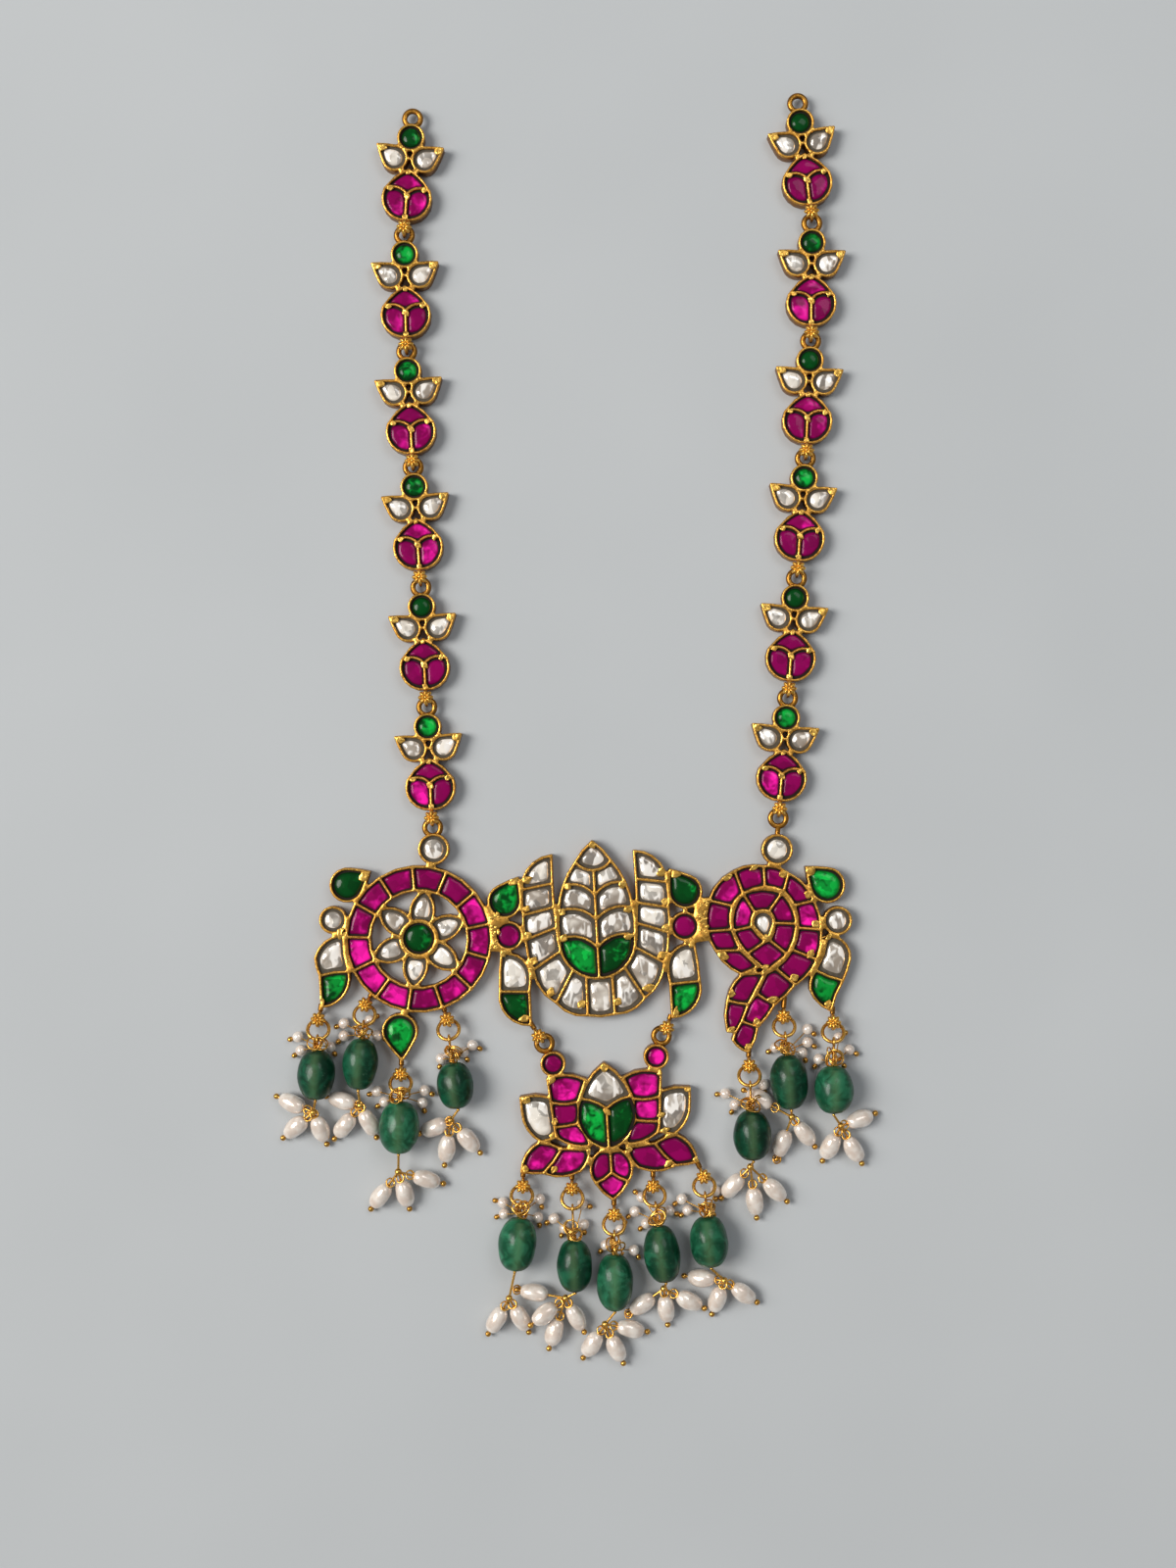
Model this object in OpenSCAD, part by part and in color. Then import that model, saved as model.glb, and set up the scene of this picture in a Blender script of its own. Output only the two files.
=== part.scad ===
// Kundan pendant necklace lying flat, in millimetres: +X right, +Y up the chains, +Z off the table.
// The origin is under the middle of the tall central motif, on the plane that the necklace lies on.

/* [Frames] */
// Height of every soldered gold frame
frame_t = 2.6; // [2.5:0.1:2.8]
// Thickness of the closed back plate of a frame
plate_t = 0.8; // [0.6:0.1:0.9]
// Width of the gold walls between stones
wall_w = 0.44; // [0.4:0.02:0.46]
// Radius that solder leaves in narrow corners between walls
fillet_r = 0.3; // [0.25:0.05:0.35]

/* [Stones] */
// Gap between a stone and the walls round it
stone_gap = 0.14; // [0.12:0.01:0.16]
// Height of the table of a stone
stone_top = 2.3; // [2.2:0.05:2.4]
// Height of the sloping facets round a table
crown_h = 0.5; // [0.3:0.05:0.6]
// Width of a table as a share of its stone
table_share = 0.74; // [0.65:0.01:0.8]

/* [Rings and hooks] */
// Radius of the hole in a link's ring
ring_hole_r = 0.9; // [0.88:0.01:0.92]
// Radius of the wire that a link's ring is bent from
ring_wire_r = 0.5; // [0.48:0.01:0.5]
// Radius of the wire of a hook under a flower
hook_wire_r = 0.28; // [0.25:0.01:0.3]
// Radius of a flower on a hook
flower_r = 1.3; // [1.2:0.05:1.35]
// Number of petals of a flower
flower_petals = 8; // [6:1:10]

/* [Drops] */
// Radius of a jump ring to the middle of its wire
jump_r = 1.8; // [1.75:0.05:1.85]
// Radius of the wire of a jump ring
jump_wire_r = 0.3; // [0.25:0.01:0.3]
// Radius of the wire that beads and pearls are strung on
pin_r = 0.2; // [0.15:0.01:0.22]
// Half the length of a rice pearl
pearl_half = 2.4; // [2.2:0.1:2.4]
// Half the width of a rice pearl
pearl_r = 1.7; // [1.6:0.05:1.7]
// Radius of the gold ball under a pearl
ball_r = 0.5; // [0.4:0.05:0.5]

/* [Hidden] */

gold = "goldenrod";
ruby = "mediumvioletred";
green = "seagreen";
clear = "whitesmoke";
pearl = "linen";

half_wall = wall_w / 2;
corner_r = 0.25;
pocket_turn = 30;
stone_turn = 115;
hollow_step = 18;
bed_gap = 0.05;
ring_mid_r = 1.3;
hook_hole_r = 1;
hook_mid_r = hook_hole_r + hook_wire_r;
wire_z = hook_mid_r + hook_wire_r + 0.04;
neck_r = 0.45;
flower_z = wire_z + hook_mid_r;
flower_t = 0.6;
pocket_h = flower_z - plate_t - 0.1;
land = 0.05;
loop_r = 0.7;
bead_hole_r = 0.4;
pearl_hole_r = 0.32;
jump_drop = 0.25;
knot_r = 0.6;
knot_sink = 0.6;
pin_end = 0.25;
bend_r = 0.27;

// Points along one side of a cell from a up to b, bulging to the right by g times its length
function side_pts(a, b, g, step, least) =
    g == 0 ? [a] :
    let (long = norm(b - a), u = (b - a) / long, v = sign(g) * [u[1], -u[0]], f = 2 * atan(2 * abs(g)),
         r = long / 2 / sin(f), n = max(least, ceil(2 * f / step)))
    [for (i = [0 : n - 1]) let (t = f * (2 * i / n - 1))
        a + u * (long / 2 + r * sin(t)) + v * r * (cos(t) - cos(f))];

// A cell is a list of corners: x, y and the bulge of the side after it. Its hollow sides get finer steps
function cell_pts(cell, step, least) =
    [for (i = [0 : len(cell) - 1])
        let (a = cell[i], b = cell[(i + 1) % len(cell)], hollow = a[2] * area(cell) < 0)
        each side_pts([a[0], a[1]], [b[0], b[1]], a[2], hollow ? min(step, hollow_step) : step, least)];
function mirrored(cells) = [for (c = cells) [for (p = c) [-p[0], p[1], -p[2]]]];
function turned(v, t) = [v[0] * cos(t) - v[1] * sin(t), v[0] * sin(t) + v[1] * cos(t)];
function moved(cells, at, t = 0) =
    [for (c = cells) [for (p = c) let (q = turned(p, t)) [q[0] + at[0], q[1] + at[1], p[2]]]];

// Bulge of a side that is an arc of the given angle
function arc_bulge(angle) = tan(angle / 4) / 2;
function round_cell(at, r) =
    [for (i = [0 : 3]) [at[0] + r * cos(90 * i), at[1] + r * sin(90 * i), arc_bulge(90)]];
// A round cell drawn out to one corner
function drop_cell(at, r, tip) =
    let (v = tip - at, t = atan2(v[1], v[0]), a = acos(r / norm(v)))
    [[at[0] + r * cos(t + a), at[1] + r * sin(t + a), arc_bulge(360 - 2 * a)],
     [at[0] + r * cos(t - a), at[1] + r * sin(t - a), 0.02], [tip[0], tip[1], 0.02]];
// Cells between the ribs of a band, each rib with outer x, y, outer bulge, inner x, y, inner bulge
function band_cells(ribs) =
    [for (i = [0 : len(ribs) - 2]) let (a = ribs[i], b = ribs[i + 1])
        [[a[0], a[1], a[2]], [b[0], b[1], 0], [b[3], b[4], -a[5]], [a[3], a[4], 0]]];

function area(p) =
    let (n = len(p), s = [for (i = [0 : n - 1]) p[i][0] * p[(i + 1) % n][1] - p[(i + 1) % n][0] * p[i][1]])
    s * [for (i = [1 : n]) 1] / 2;
function reversed(p) = [for (i = [len(p) - 1 : -1 : 0]) p[i]];
function counter_clockwise(p) = area(p) < 0 ? reversed(p) : p;
function mean(p) = [for (i = [1 : len(p)]) 1] * p / len(p);
function left_of(a, b) = [a[1] - b[1], b[0] - a[0]] / norm(b - a);
function inset(p, d) =
    [for (i = [0 : len(p) - 1])
        let (n = len(p), a = left_of(p[(i + n - 1) % n], p[i]), b = left_of(p[i], p[(i + 1) % n]))
        p[i] + d * (a + b) / (1 + a * b)];

// A closed outline with radius r at the corners that turn by more than a given angle
function softened(p, r, least_turn) =
    [for (i = [0 : len(p) - 1])
        let (n = len(p), v = p[i] - p[(i + n - 1) % n], w = p[(i + 1) % n] - p[i],
             a = v / norm(v), b = w / norm(w), c = (b - a) / norm(b - a), turn = acos(max(-1, min(1, a * b))),
             t = min(r * tan(turn / 2), 0.4 * norm(v), 0.4 * norm(w)))
        each turn < least_turn ? [p[i]] :
            [p[i] - a * t, p[i] + c * t * (1 / cos(turn / 2) - 1) / tan(turn / 2), p[i] + b * t]];

// A flat cut stone with a table, sloping facets and a straight girdle
module cut_stone(cell, top) {
    edge = counter_clockwise(cell_pts(cell, 40, 2));
    rim = softened(inset(edge, half_wall + stone_gap), corner_r, stone_turn);
    n = len(rim);
    c = mean(rim);
    heights = [plate_t + bed_gap, top - crown_h, top];
    shares = [1, 1, table_share];
    pts = [for (k = [0 : 2]) for (p = rim) let (q = c + (p - c) * shares[k]) [q[0], q[1], heights[k]]];
    sides = [for (k = [0, n]) for (i = [0 : n - 1])
        let (j = (i + 1) % n) [k + i, k + i + n, k + j + n, k + j]];
    polyhedron(pts, concat([[for (i = [0 : n - 1]) i]], sides, [[for (i = [n - 1 : -1 : 0]) 2 * n + i]]));
}

module stones(cells, top = stone_top) {
    for (c = cells) cut_stone(c, top);
}

// Outline of a soldered frame round its cells, with solder that bridges it
module outline(cells, bridges) {
    offset(r = -fillet_r, $fn = 16) offset(r = fillet_r + half_wall, $fn = 16) {
        for (c = cells) polygon(cell_pts(c, 20, 2));
        for (b = bridges) polygon(b);
    }
}

module pockets(cells) {
    for (c = cells)
        polygon(softened(inset(counter_clockwise(cell_pts(c, 15, 2)), half_wall), corner_r, pocket_turn));
}

// A closed plate with a wall round each cell; children are rings and hooks soldered to its rim
module setting(cells, bridges = []) {
    difference() {
        union() {
            linear_extrude(frame_t) outline(cells, bridges);
            children();
        }
        translate([0, 0, plate_t]) linear_extrude(pocket_h) pockets(cells);
    }
}

module torus(mid, wire) {
    rotate_extrude($fn = 48) translate([mid, 0]) circle(r = wire, $fn = 24);
}

// A ring lying flat, with a short straight bore
module ring(at) {
    translate([at[0], at[1], wire_z]) difference() {
        torus(ring_mid_r, ring_wire_r);
        cylinder(r = ring_hole_r, h = 2, center = true, $fn = 48);
    }
}

module rod(a, b, r) {
    v = b - a;
    translate(a) rotate([0, acos(v[2] / norm(v)), atan2(v[1], v[0])]) cylinder(r = r, h = norm(v), $fn = 24);
}

module flower() {
    tips = [for (i = [0 : 2 * flower_petals - 1])
        let (r = i % 2 == 0 ? flower_r : flower_r * 0.68, t = 180 * i / flower_petals) r * [cos(t), sin(t)]];
    linear_extrude(flower_t) polygon(tips);
    cylinder(r = flower_r * 0.4, h = flower_t + 0.2, $fn = 24);
}

// A flower soldered on a standing loop, with a neck of the given length towards its frame
module hook(at, t, neck) {
    translate([at[0], at[1], 0]) rotate(t) {
        translate([0, 0, wire_z]) rotate([0, 90, 0]) torus(hook_mid_r, hook_wire_r);
        translate([0, 0, flower_z]) flower();
        rod([0, hook_mid_r, wire_z], [0, hook_mid_r + neck, wire_z], neck_r);
    }
}

// One chain link, with its origin under the round emerald and its ring towards +Y
link_emerald = [round_cell([0, 0], 2.13)];
link_leaf = drop_cell([2.5, -3.6], 2.05, [5.5, -1.5]);
link_leaves = concat([link_leaf], mirrored([link_leaf]));
bud_side = [[0, -9.6, 0], [0, -13.95, 0.28], [3.8, -8.9, 0.2]];
link_bud = concat([[[0, -5.5, 0.08], [-3.8, -8.9, -0.2], [0, -9.6, -0.2], [3.8, -8.9, 0.08]], bud_side],
    mirrored([bud_side]));
link_ring_y = 3.35;
link_hook_y = -15.37;

module link() {
    setting(concat(link_emerald, link_leaves, link_bud)) {
        ring([0, link_ring_y]);
        hook([0, link_hook_y], 0, 0.5);
    }
}

// Ring centres down each chain, the last one on the pendants
left_rings = [
    [-30.9, 137.6], [-32.3, 117.9], [-31.9, 98.2], [-30.8, 78.6], [-29.5, 58.3], [-28.5, 38], [-27.5, 17.6]];
right_rings = [
    [34.3, 140.2], [36.7, 119.9], [36.5, 100], [35.6, 80.1], [34.1, 59.8], [32.6, 39.5], [31, 19.2]];

module on_link(rings, k) {
    v = rings[k] - rings[k + 1];
    u = v / norm(v);
    translate(concat(rings[k] - link_ring_y * u, 0)) rotate(atan2(u[1], u[0]) - 90) children();
}

module chain_stones(rings, cells, top = stone_top) {
    for (k = [0 : 5]) on_link(rings, k) stones(cells, top);
}

// The wheel on the left, round its own middle
wheel_at = [-29.8, -1.2];
wheel_stones = 13;
wheel_step = 360 / wheel_stones;
wheel_ribs = [for (k = [0 : wheel_stones]) let (t = 95.2 + wheel_step * k, g = arc_bulge(wheel_step))
    [12.28 * cos(t), 12.28 * sin(t), g, 8.3 * cos(t), 8.3 * sin(t), g]];
wheel_petal = [[8.2, 0, 0.19], [2.75, 1.6, -0.13], [2.75, -1.6, 0.19]];
wheel_ring = band_cells(wheel_ribs);
wheel_petals = [for (k = [0 : 5]) each moved([wheel_petal], [0, 0], 83 + 60 * k)];
wheel_hub = [round_cell([0, 0.1], 2.83)];
wheel_top = [round_cell([2.5, 15.2], 2.45)];
wheel_side_white = [round_cell([-14.5, 3.2], 2.16),
    [[-12.8, 0.6, 0.17], [-17.5, -3.2, 0.05], [-16.7, -6.2, -0.04], [-11.9, -5.5, -0.04]]];
wheel_side_green = [drop_cell([-12.15, 9.1], 2.75, [-8.4, 11.3]),
    [[-16.7, -6.2, 0], [-16.4, -11.5, 0.19], [-11.75, -6.8, 0.02], [-11.9, -5.5, 0.04]],
    drop_cell([-3.2, -15.6], 2.86, [-2.8, -20.5])];
function on_wheel(cells) = moved(cells, wheel_at);

// The central mark: a leaf inside a band like a horseshoe, with a flank of stones on each side
mark_at = [0.3, 0];
mark_turn = 3.1;
band_half = [
    [12.3, 7.8, 0.22, 7.1, 8.6, 0], [12.3, 3.5, 0.03, 7.05, 4.6, 0], [12.1, -0.7, 0.04, 6.75, 1.15, 0],
    [11.1, -5.8, 0.05, 6.3, -2.9, 0], [7.5, -11.6, 0.12, 4.35, -6.2, 0], [2.3, -14, 0.13, 2.2, -7.5, 0]];
band_tip = [[7.1, 8.6, 0], [12.3, 7.8, 0.2], [7, 13.3, 0]];
band_side = concat([band_tip], [for (i = [0 : 4]) let (a = band_half[i], b = band_half[i + 1])
    [[a[0], a[1], 0], [a[3], a[4], [0, 0.01, -0.04, -0.07, -0.05][i]], [b[3], b[4], 0], [b[0], b[1], b[2]]]]);
band_foot = [[-2.3, -14, 0.06], [2.3, -14, 0], [2.2, -7.5, -0.08], [-2.2, -7.5, 0]];
// Rows of the leaf: x and y of the edge, y on the spine
leaf_rows = [[3, 11.95, 10.45], [5.25, 8.1, 6.2], [6.25, 3.8, 2.1], [6.4, -0.9, -2.6]];
leaf_top = [[0, 15.3, 0.05], [-3, 11.95, 0.12], [0, 10.45, 0.12], [3, 11.95, 0.05]];
leaf_side = [for (i = [0 : 2]) let (a = leaf_rows[i], b = leaf_rows[i + 1])
    [[0, a[2], 0], [0, b[2], -0.16], [b[0], b[1], 0.04], [a[0], a[1], i == 0 ? -0.12 : 0.16]]];
leaf_foot = [[0, -2.6, 0], [0, -7.85, 0.22], [6.4, -0.9, 0.16]];
flank_green = [drop_cell([15.3, 6], 2.72, [12.9, 9.8]),
    [[11.95, -9.5, 0], [12, -15.1, 0.19], [17, -10.8, 0.02], [16.9, -9.2, 0]]];
flank_ruby = [round_cell([14.9, 0.15], 2.28)];
flank_white = [[[16.3, -2.9, 0.23], [11.65, -6.6, 0.03], [11.95, -9.5, 0], [16.9, -9.2, 0.02]]];
function both_sides(cells) = concat(cells, mirrored(cells));
function on_mark(cells) = moved(cells, mark_at, mark_turn);
mark_white = on_mark(
    concat(both_sides(band_side), [band_foot, leaf_top], both_sides(leaf_side), both_sides(flank_white)));
mark_green = on_mark(both_sides(concat([leaf_foot], flank_green)));
mark_red = on_mark(both_sides(flank_ruby));

// The conch on the right, round its own middle
conch_at = [28.5, 1.7];
conch_ribs = [
    [5.4, -10.6, 0.08, 2, -7.8, 0.06], [9, -6.4, 0.05, 4.8, -4.7, 0.06], [9.75, -1.3, 0.06, 5.8, -1, 0.06],
    [8.5, 3.6, 0.1, 5.2, 2.8, 0.06], [4.2, 8.2, 0.1, 3.4, 5.2, 0.06], [0, 9.4, 0.09, 0.2, 6, 0.06],
    [-4.9, 8.6, 0.11, -3.5, 4.8, 0.08], [-9.2, 3.6, 0.07, -5.3, 2.7, 0.08],
    [-9.6, -1.6, 0.04, -5.4, -1.3, 0.03],
    [-8.1, -4.9, 0.09, -3.9, -4.8, 0], [-3.8, -8.8, 0, -0.9, -7.6, 0]];
conch_inner_ribs = [
    [-2.8, -5.4, 0, 0.3, -3.3, 0], [0.5, -8.3, 0, 0.6, -3.4, 0], [4, -5.5, 0.06, 1, -3.1, 0.08],
    [5.6, -0.3, 0.08, 1.8, -0.2, 0.12], [3.1, 4.9, 0.1, 0.9, 1.8, 0.12], [-3.5, 4.8, 0.12, -1.5, 1.6, 0.12],
    [-5.2, -1.5, 0.04, -2, -0.8, 0.05], [-2.8, -5.4, 0, 0.3, -3.3, 0]];
conch_inner = concat(
    [[[-2.8, -5.4, 0], [0.5, -8.3, 0], [4, -5.5, 0], [1, -3.1, 0], [0.3, -3.3, 0]]],
    [for (i = [2 : 6]) band_cells([conch_inner_ribs[i], conch_inner_ribs[i + 1]])[0]]);
conch_tail = [
    [[-3.6, -8.9, 0.1], [-6.1, -13.3, 0.03], [-2.6, -13.9, 0], [0.2, -8.6, 0]],
    [[-6.1, -13.3, 0.07], [-6.1, -18.5, 0], [-4.7, -18.6, 0], [-3.7, -16.8, 0], [-2.6, -13.9, -0.03]],
    [[-3.7, -16.8, 0], [-4.8, -18.7, 0], [-5.2, -20, 0.1], [-2.6, -22, 0.06], [-1, -17.7, 0]],
    [[0.4, -8.7, 0], [-1.2, -12.1, 0.03], [1.9, -13.9, 0.04], [5.3, -10.6, 0], [2, -7.9, 0]],
    [[-1.2, -12.1, 0], [-2.6, -13.9, 0], [-3.7, -16.8, 0.03], [-1, -17.7, 0.04], [1.9, -13.9, -0.03]]];
conch_drop = [drop_cell([-0.1, 0], 1.75, [0.6, -3])];
conch_top = [round_cell([2.3, 12.2], 2.45)];
conch_side_white = [round_cell([12.5, 0.2], 2.25),
    [[10.8, -2.4, -0.05], [8.8, -8.2, 0.04], [13.4, -9.9, 0.03], [14.6, -6.2, 0.23]]];
conch_side_green = [drop_cell([10.75, 6.2], 2.85, [7.2, 9.2]),
    [[8.8, -8.2, 0.1], [7.9, -11.4, 0.12], [11.4, -15, -0.05], [13.4, -9.9, -0.04]]];
function on_conch(cells) = moved(cells, conch_at);

// The lotus that hangs below, round the foot of its bud
lotus_at = [2.25, -36.7];
lotus_turn = 3.4;
bud_white = [[[0.1, 14.45, 0.09], [-4.2, 8.75, -0.08], [0.1, 6.87, -0.08], [4.4, 8.75, 0.09]]];
bud_green = [[0.1, 6.87, 0], [0.1, 0, 0.26], [4.4, 8.75, 0.08]];
side_rubies = [
    [[3.2, 11.9, 0], [4.65, 8.3, 0.08], [9.25, 8.45, 0], [9.6, 12.4, 0.12]],
    [[4.65, 8.3, 0.05], [4.9, 4.6, 0.02], [8.95, 4.2, 0], [9.25, 8.45, -0.08]],
    [[4.9, 4.6, 0.08], [3, 0.75, 0.1], [8.4, 2.3, 0.03], [8.95, 4.2, -0.02]]];
side_white = [[[9.35, 9.2, 0], [8.7, 2.5, 0], [11.2, 1.9, 0.1], [14, 5.5, 0.02], [14.3, 9.5, 0.08]]];
low_rubies = [
    [[7.9, 0.5, 0.04], [11.2, -3.4, 0.03], [14.9, -3, 0.14], [11.6, 1.75, 0.06]],
    [[3.2, 0.1, 0.1], [4.9, -3.4, 0.12], [11.2, -3.4, -0.04], [7.9, 0.5, 0]]];
foot_side = [[0.3, -4, 0.06], [3.1, -5.6, 0.22], [2.1, -0.35, 0.02], [0.3, -0.5, 0]];
foot_tip = [[0.3, -4, -0.06], [-2.5, -5.6, 0.06], [0.3, -8.6, 0.06], [3.1, -5.6, -0.06]];
foot_other = [[0.3, -4, 0], [0.3, -0.5, 0.02], [-1.5, -0.35, 0.22], [-2.5, -5.6, 0.06]];
lotus_ears = [[-8.5, 14.9], [9, 15.1]];
lotus_rings = [[-9.75, 18.4], [10.1, 18.5]];
function on_lotus(cells) = moved(cells, lotus_at, lotus_turn);
function lotus_point(p) = lotus_at + turned(p, lotus_turn);
lotus_white = on_lotus(concat(bud_white, both_sides(side_white)));
lotus_green = on_lotus([bud_green, [[0.1, 6.87, 0.08], [-4.2, 8.75, 0.26], [0.1, 0, 0]]]);
lotus_red = on_lotus(concat(both_sides(concat(side_rubies, low_rubies)), [foot_side, foot_other, foot_tip],
    [for (p = lotus_ears) round_cell(p, 1.95)]));

// Hooks under the front frame and the lotus: x, y, turn of the loop, length of its neck
front_hooks = [
    [-46.7, -14.7, -8, 1.2], [-38.8, -12.2, -30, 1.2], [-32.8, -23.9, 0, 1.2], [-25, -14.7, 20, 1.2],
    [26, -22.5, 0, 1.2], [31.8, -14.2, -5, 2.4], [40.2, -15.2, 0, 1.2]];
lotus_hooks = [
    [-12.2, -42.8, 0, 1.2], [-3.9, -43.2, 0, 1.2], [3.2, -47.6, 0, 1.2], [9.8, -42.8, 0, 1.2],
    [18.3, -41.2, 25, 1.5]];
lotus_hangers = [[-9.5, -17.55, 34, 1.7], [12.1, -16.1, -20, 0.9]];

// Solder between the wheel, the mark and the conch, as plain outlines
solder = [
    [[-18.4, -3], [-15.5, -3.2], [-15.5, 3.6], [-18.2, 3]],
    [[16.8, -1.6], [19.6, -1.2], [19.4, 5.6], [17, 5.4]]];

// Neck between the white round of the conch and its ring
right_neck = [[30.85, 16.3, wire_z], [31, 18, wire_z]];

module front_frame() {
    wheel = concat(wheel_ring, wheel_petals, wheel_hub, wheel_top, wheel_side_white, wheel_side_green);
    conch = concat(band_cells(conch_ribs), conch_inner, conch_tail, conch_drop, conch_top, conch_side_white,
        conch_side_green);
    color(gold) setting(concat(on_wheel(wheel), mark_white, mark_green, mark_red, on_conch(conch)), solder) {
        ring(left_rings[6]);
        ring(right_rings[6]);
        rod(right_neck[0], right_neck[1], neck_r);
        for (h = concat(front_hooks, lotus_hangers)) hook([h[0], h[1]], h[2], h[3]);
    }
}

module lotus_frame() {
    color(gold) setting(concat(lotus_white, lotus_green, lotus_red)) {
        for (p = lotus_rings) ring(lotus_point(p));
        for (h = lotus_hooks) hook([h[0], h[1]], h[2], h[3]);
    }
}

// Drops: x and y of the bead, its radius, half its length, x and y of the knot of wires below it,
// then x, y and lift off the table of each pearl
front_drops = [
    [-47, -24, 3.4, 4.2, -47.6, -30.4, [[-51.3, -29, 0], [-50.7, -33.1, 0], [-46.5, -33.4, 0]]],
    [-39.6, -22.2, 3.2, 4.3, -39.7, -29.3, [[-42.8, -28.6, 0], [-42.4, -32.8, 0], [-38.3, -32.3, 0]]],
    [-33, -32.8, 3.7, 4.4, -33.2, -40.4, [[-36.3, -44.7, 0], [-32.2, -44.3, 0], [-28.5, -41.9, 0]]],
    [-23.6, -25.8, 3.3, 3.9, -24.4, -31.8, [[-27.2, -33.1, 0], [-25.1, -36.7, 0], [-21.4, -35.3, 0]]],
    [26.5, -34.2, 3.4, 4.2, 26.2, -39.6, [[23.3, -43, 0], [27, -45.6, 0], [30.4, -43.7, 0]]],
    [32.7, -25.2, 3.4, 4.6, 33.2, -31.2, [[27.8, -28.3, 0], [31.7, -35.8, 0], [35.5, -34.2, 0]]],
    [40.2, -26.5, 3.5, 4, 41.5, -32.7, [[39.8, -36.3, 0], [43.8, -36.8, 0], [44.8, -31.7, 0]]]];
lotus_drops = [
    [-13.1, -52.5, 3.5, 4.5, -14.5, -61.8, [[-16.7, -65.7, 0], [-12.6, -65.4, 0]]],
    [-3.5, -56.2, 3.2, 4.4, -5, -61.8,
        [[-10.3, -61.1, 0], [-8.5, -64.4, 1.4], [-6.9, -67.8, 0], [-3.2, -65.3, 0]]],
    [3.3, -59, 3.3, 4.8, 1.7, -66.2, [[-0.5, -69.8, 0], [3.6, -70.5, 0], [6, -67.2, 0]]],
    [11.3, -54.2, 3.3, 4.8, 11.6, -60.2, [[8, -63, 0], [12, -63.8, 0], [15.9, -62.5, 0]]],
    [19.2, -52.1, 3.5, 4.3, 21.8, -58.8, [[18, -58.6, 0], [20.7, -62.2, 0], [25.1, -61.2, 0]]]];

function bead_z(d) = d[2] + land;
function drop_turn(h, d) = atan2(d[1] - h[1], d[0] - h[0]) + 90;
function drop_length(h, d) = norm([d[0] - h[0], d[1] - h[1]]);
function jump_tilt(d) = asin((bead_z(d) - wire_z) / 2 / jump_r);
function loop_y(d) = -jump_drop - 2 * jump_r * cos(jump_tilt(d));
// Middle of the knot of wires under a bead, in the frame of the whole necklace
function knot(d) = [d[4], d[5], bead_z(d) - knot_sink];
// Height at which a pearl on a wire from the knot clears the table
function pearl_z(d, p) =
    let (s = knot(d), flat = norm([p[0] - s[0], p[1] - s[1]]), t = atan((s[2] - pearl_r - 0.15) / flat))
    norm([pearl_r * cos(t), pearl_half * sin(t)]) + land;
// Middles of the pearls of a drop
function pearl_middles(d) = [for (p = d[6]) [p[0], p[1], pearl_z(d, p) + p[2]]];

module in_drop(h, d) {
    translate([h[0], h[1], 0]) rotate(drop_turn(h, d)) children();
}

module jump_ring(h, d) {
    in_drop(h, d) translate([0, -jump_drop, wire_z]) rotate([-jump_tilt(d), 0, 0]) translate([0, -jump_r, 0])
        torus(jump_r, jump_wire_r);
}

// A solid of revolution that bulges like a barrel, lying along Y and drilled through
module drilled(r, half, hole, power) {
    n = 9;
    share = r / (r + hole);
    prof = [for (i = [0 : n]) let (t = 90 - 180 * i / n)
        [share * (r * pow(cos(t), power) + hole), half * sin(t)]];
    rotate([90, 0, 0]) difference() {
        rotate_extrude($fn = 48) polygon(concat([[0, half]], prof, [[0, -half]]));
        cylinder(r = hole, h = 3 * half, center = true, $fn = 24);
    }
}

module bead(h, d) {
    in_drop(h, d) translate([0, -drop_length(h, d), bead_z(d)]) drilled(d[2], d[3], bead_hole_r, 0.75);
}

module pearls(d) {
    s = knot(d);
    for (p = pearl_middles(d)) {
        v = p - s;
        translate(p) rotate([0, 0, atan2(v[1], v[0]) - 90]) rotate([asin(v[2] / norm(v)), 0, 0])
            drilled(pearl_r, pearl_half, pearl_hole_r, 0.9);
    }
}

// The wire of one drop: a loop on the jump ring, the pin through the bead, the knot, and head pins with balls
module drop_wire(h, d) {
    v = [d[0] - h[0], d[1] - h[1], 0];
    foot = [d[0], d[1], bead_z(d)] + v / norm(v) * (d[3] + pin_end);
    in_drop(h, d) translate([0, loop_y(d), bead_z(d)]) {
        rotate([0, 90, 0]) torus(loop_r, pin_r);
        rod([0, -loop_r, 0], [0, -drop_length(h, d) - loop_y(d) - d[3] - pin_end, 0], pin_r);
    }
    s = knot(d);
    translate(foot) sphere(r = bend_r, $fn = 24);
    rod(foot, s, pin_r);
    translate(s) sphere(r = knot_r, $fn = 24);
    for (p = pearl_middles(d)) {
        u = (p - s) / norm(p - s);
        rod(s, p + u * (pearl_half + ball_r), pin_r);
        translate(p + u * (pearl_half + ball_r + 0.12)) sphere(r = ball_r, $fn = 24);
    }
}

left_set = [for (i = [0 : 3]) [front_hooks[i], front_drops[i]]];
right_set = [for (i = [4 : 6]) [front_hooks[i], front_drops[i]]];
lotus_set = [for (i = [0 : 4]) [lotus_hooks[i], lotus_drops[i]]];
all_drops = concat(left_set, lotus_set, right_set);

module jump_rings(set) {
    color(gold) for (s = set) jump_ring(s[0], s[1]);
}

module drop_wires(set) {
    color(gold) for (s = set) drop_wire(s[0], s[1]);
}

module rice_pearls(set) {
    color(pearl) for (s = set) pearls(s[1]);
}

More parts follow.
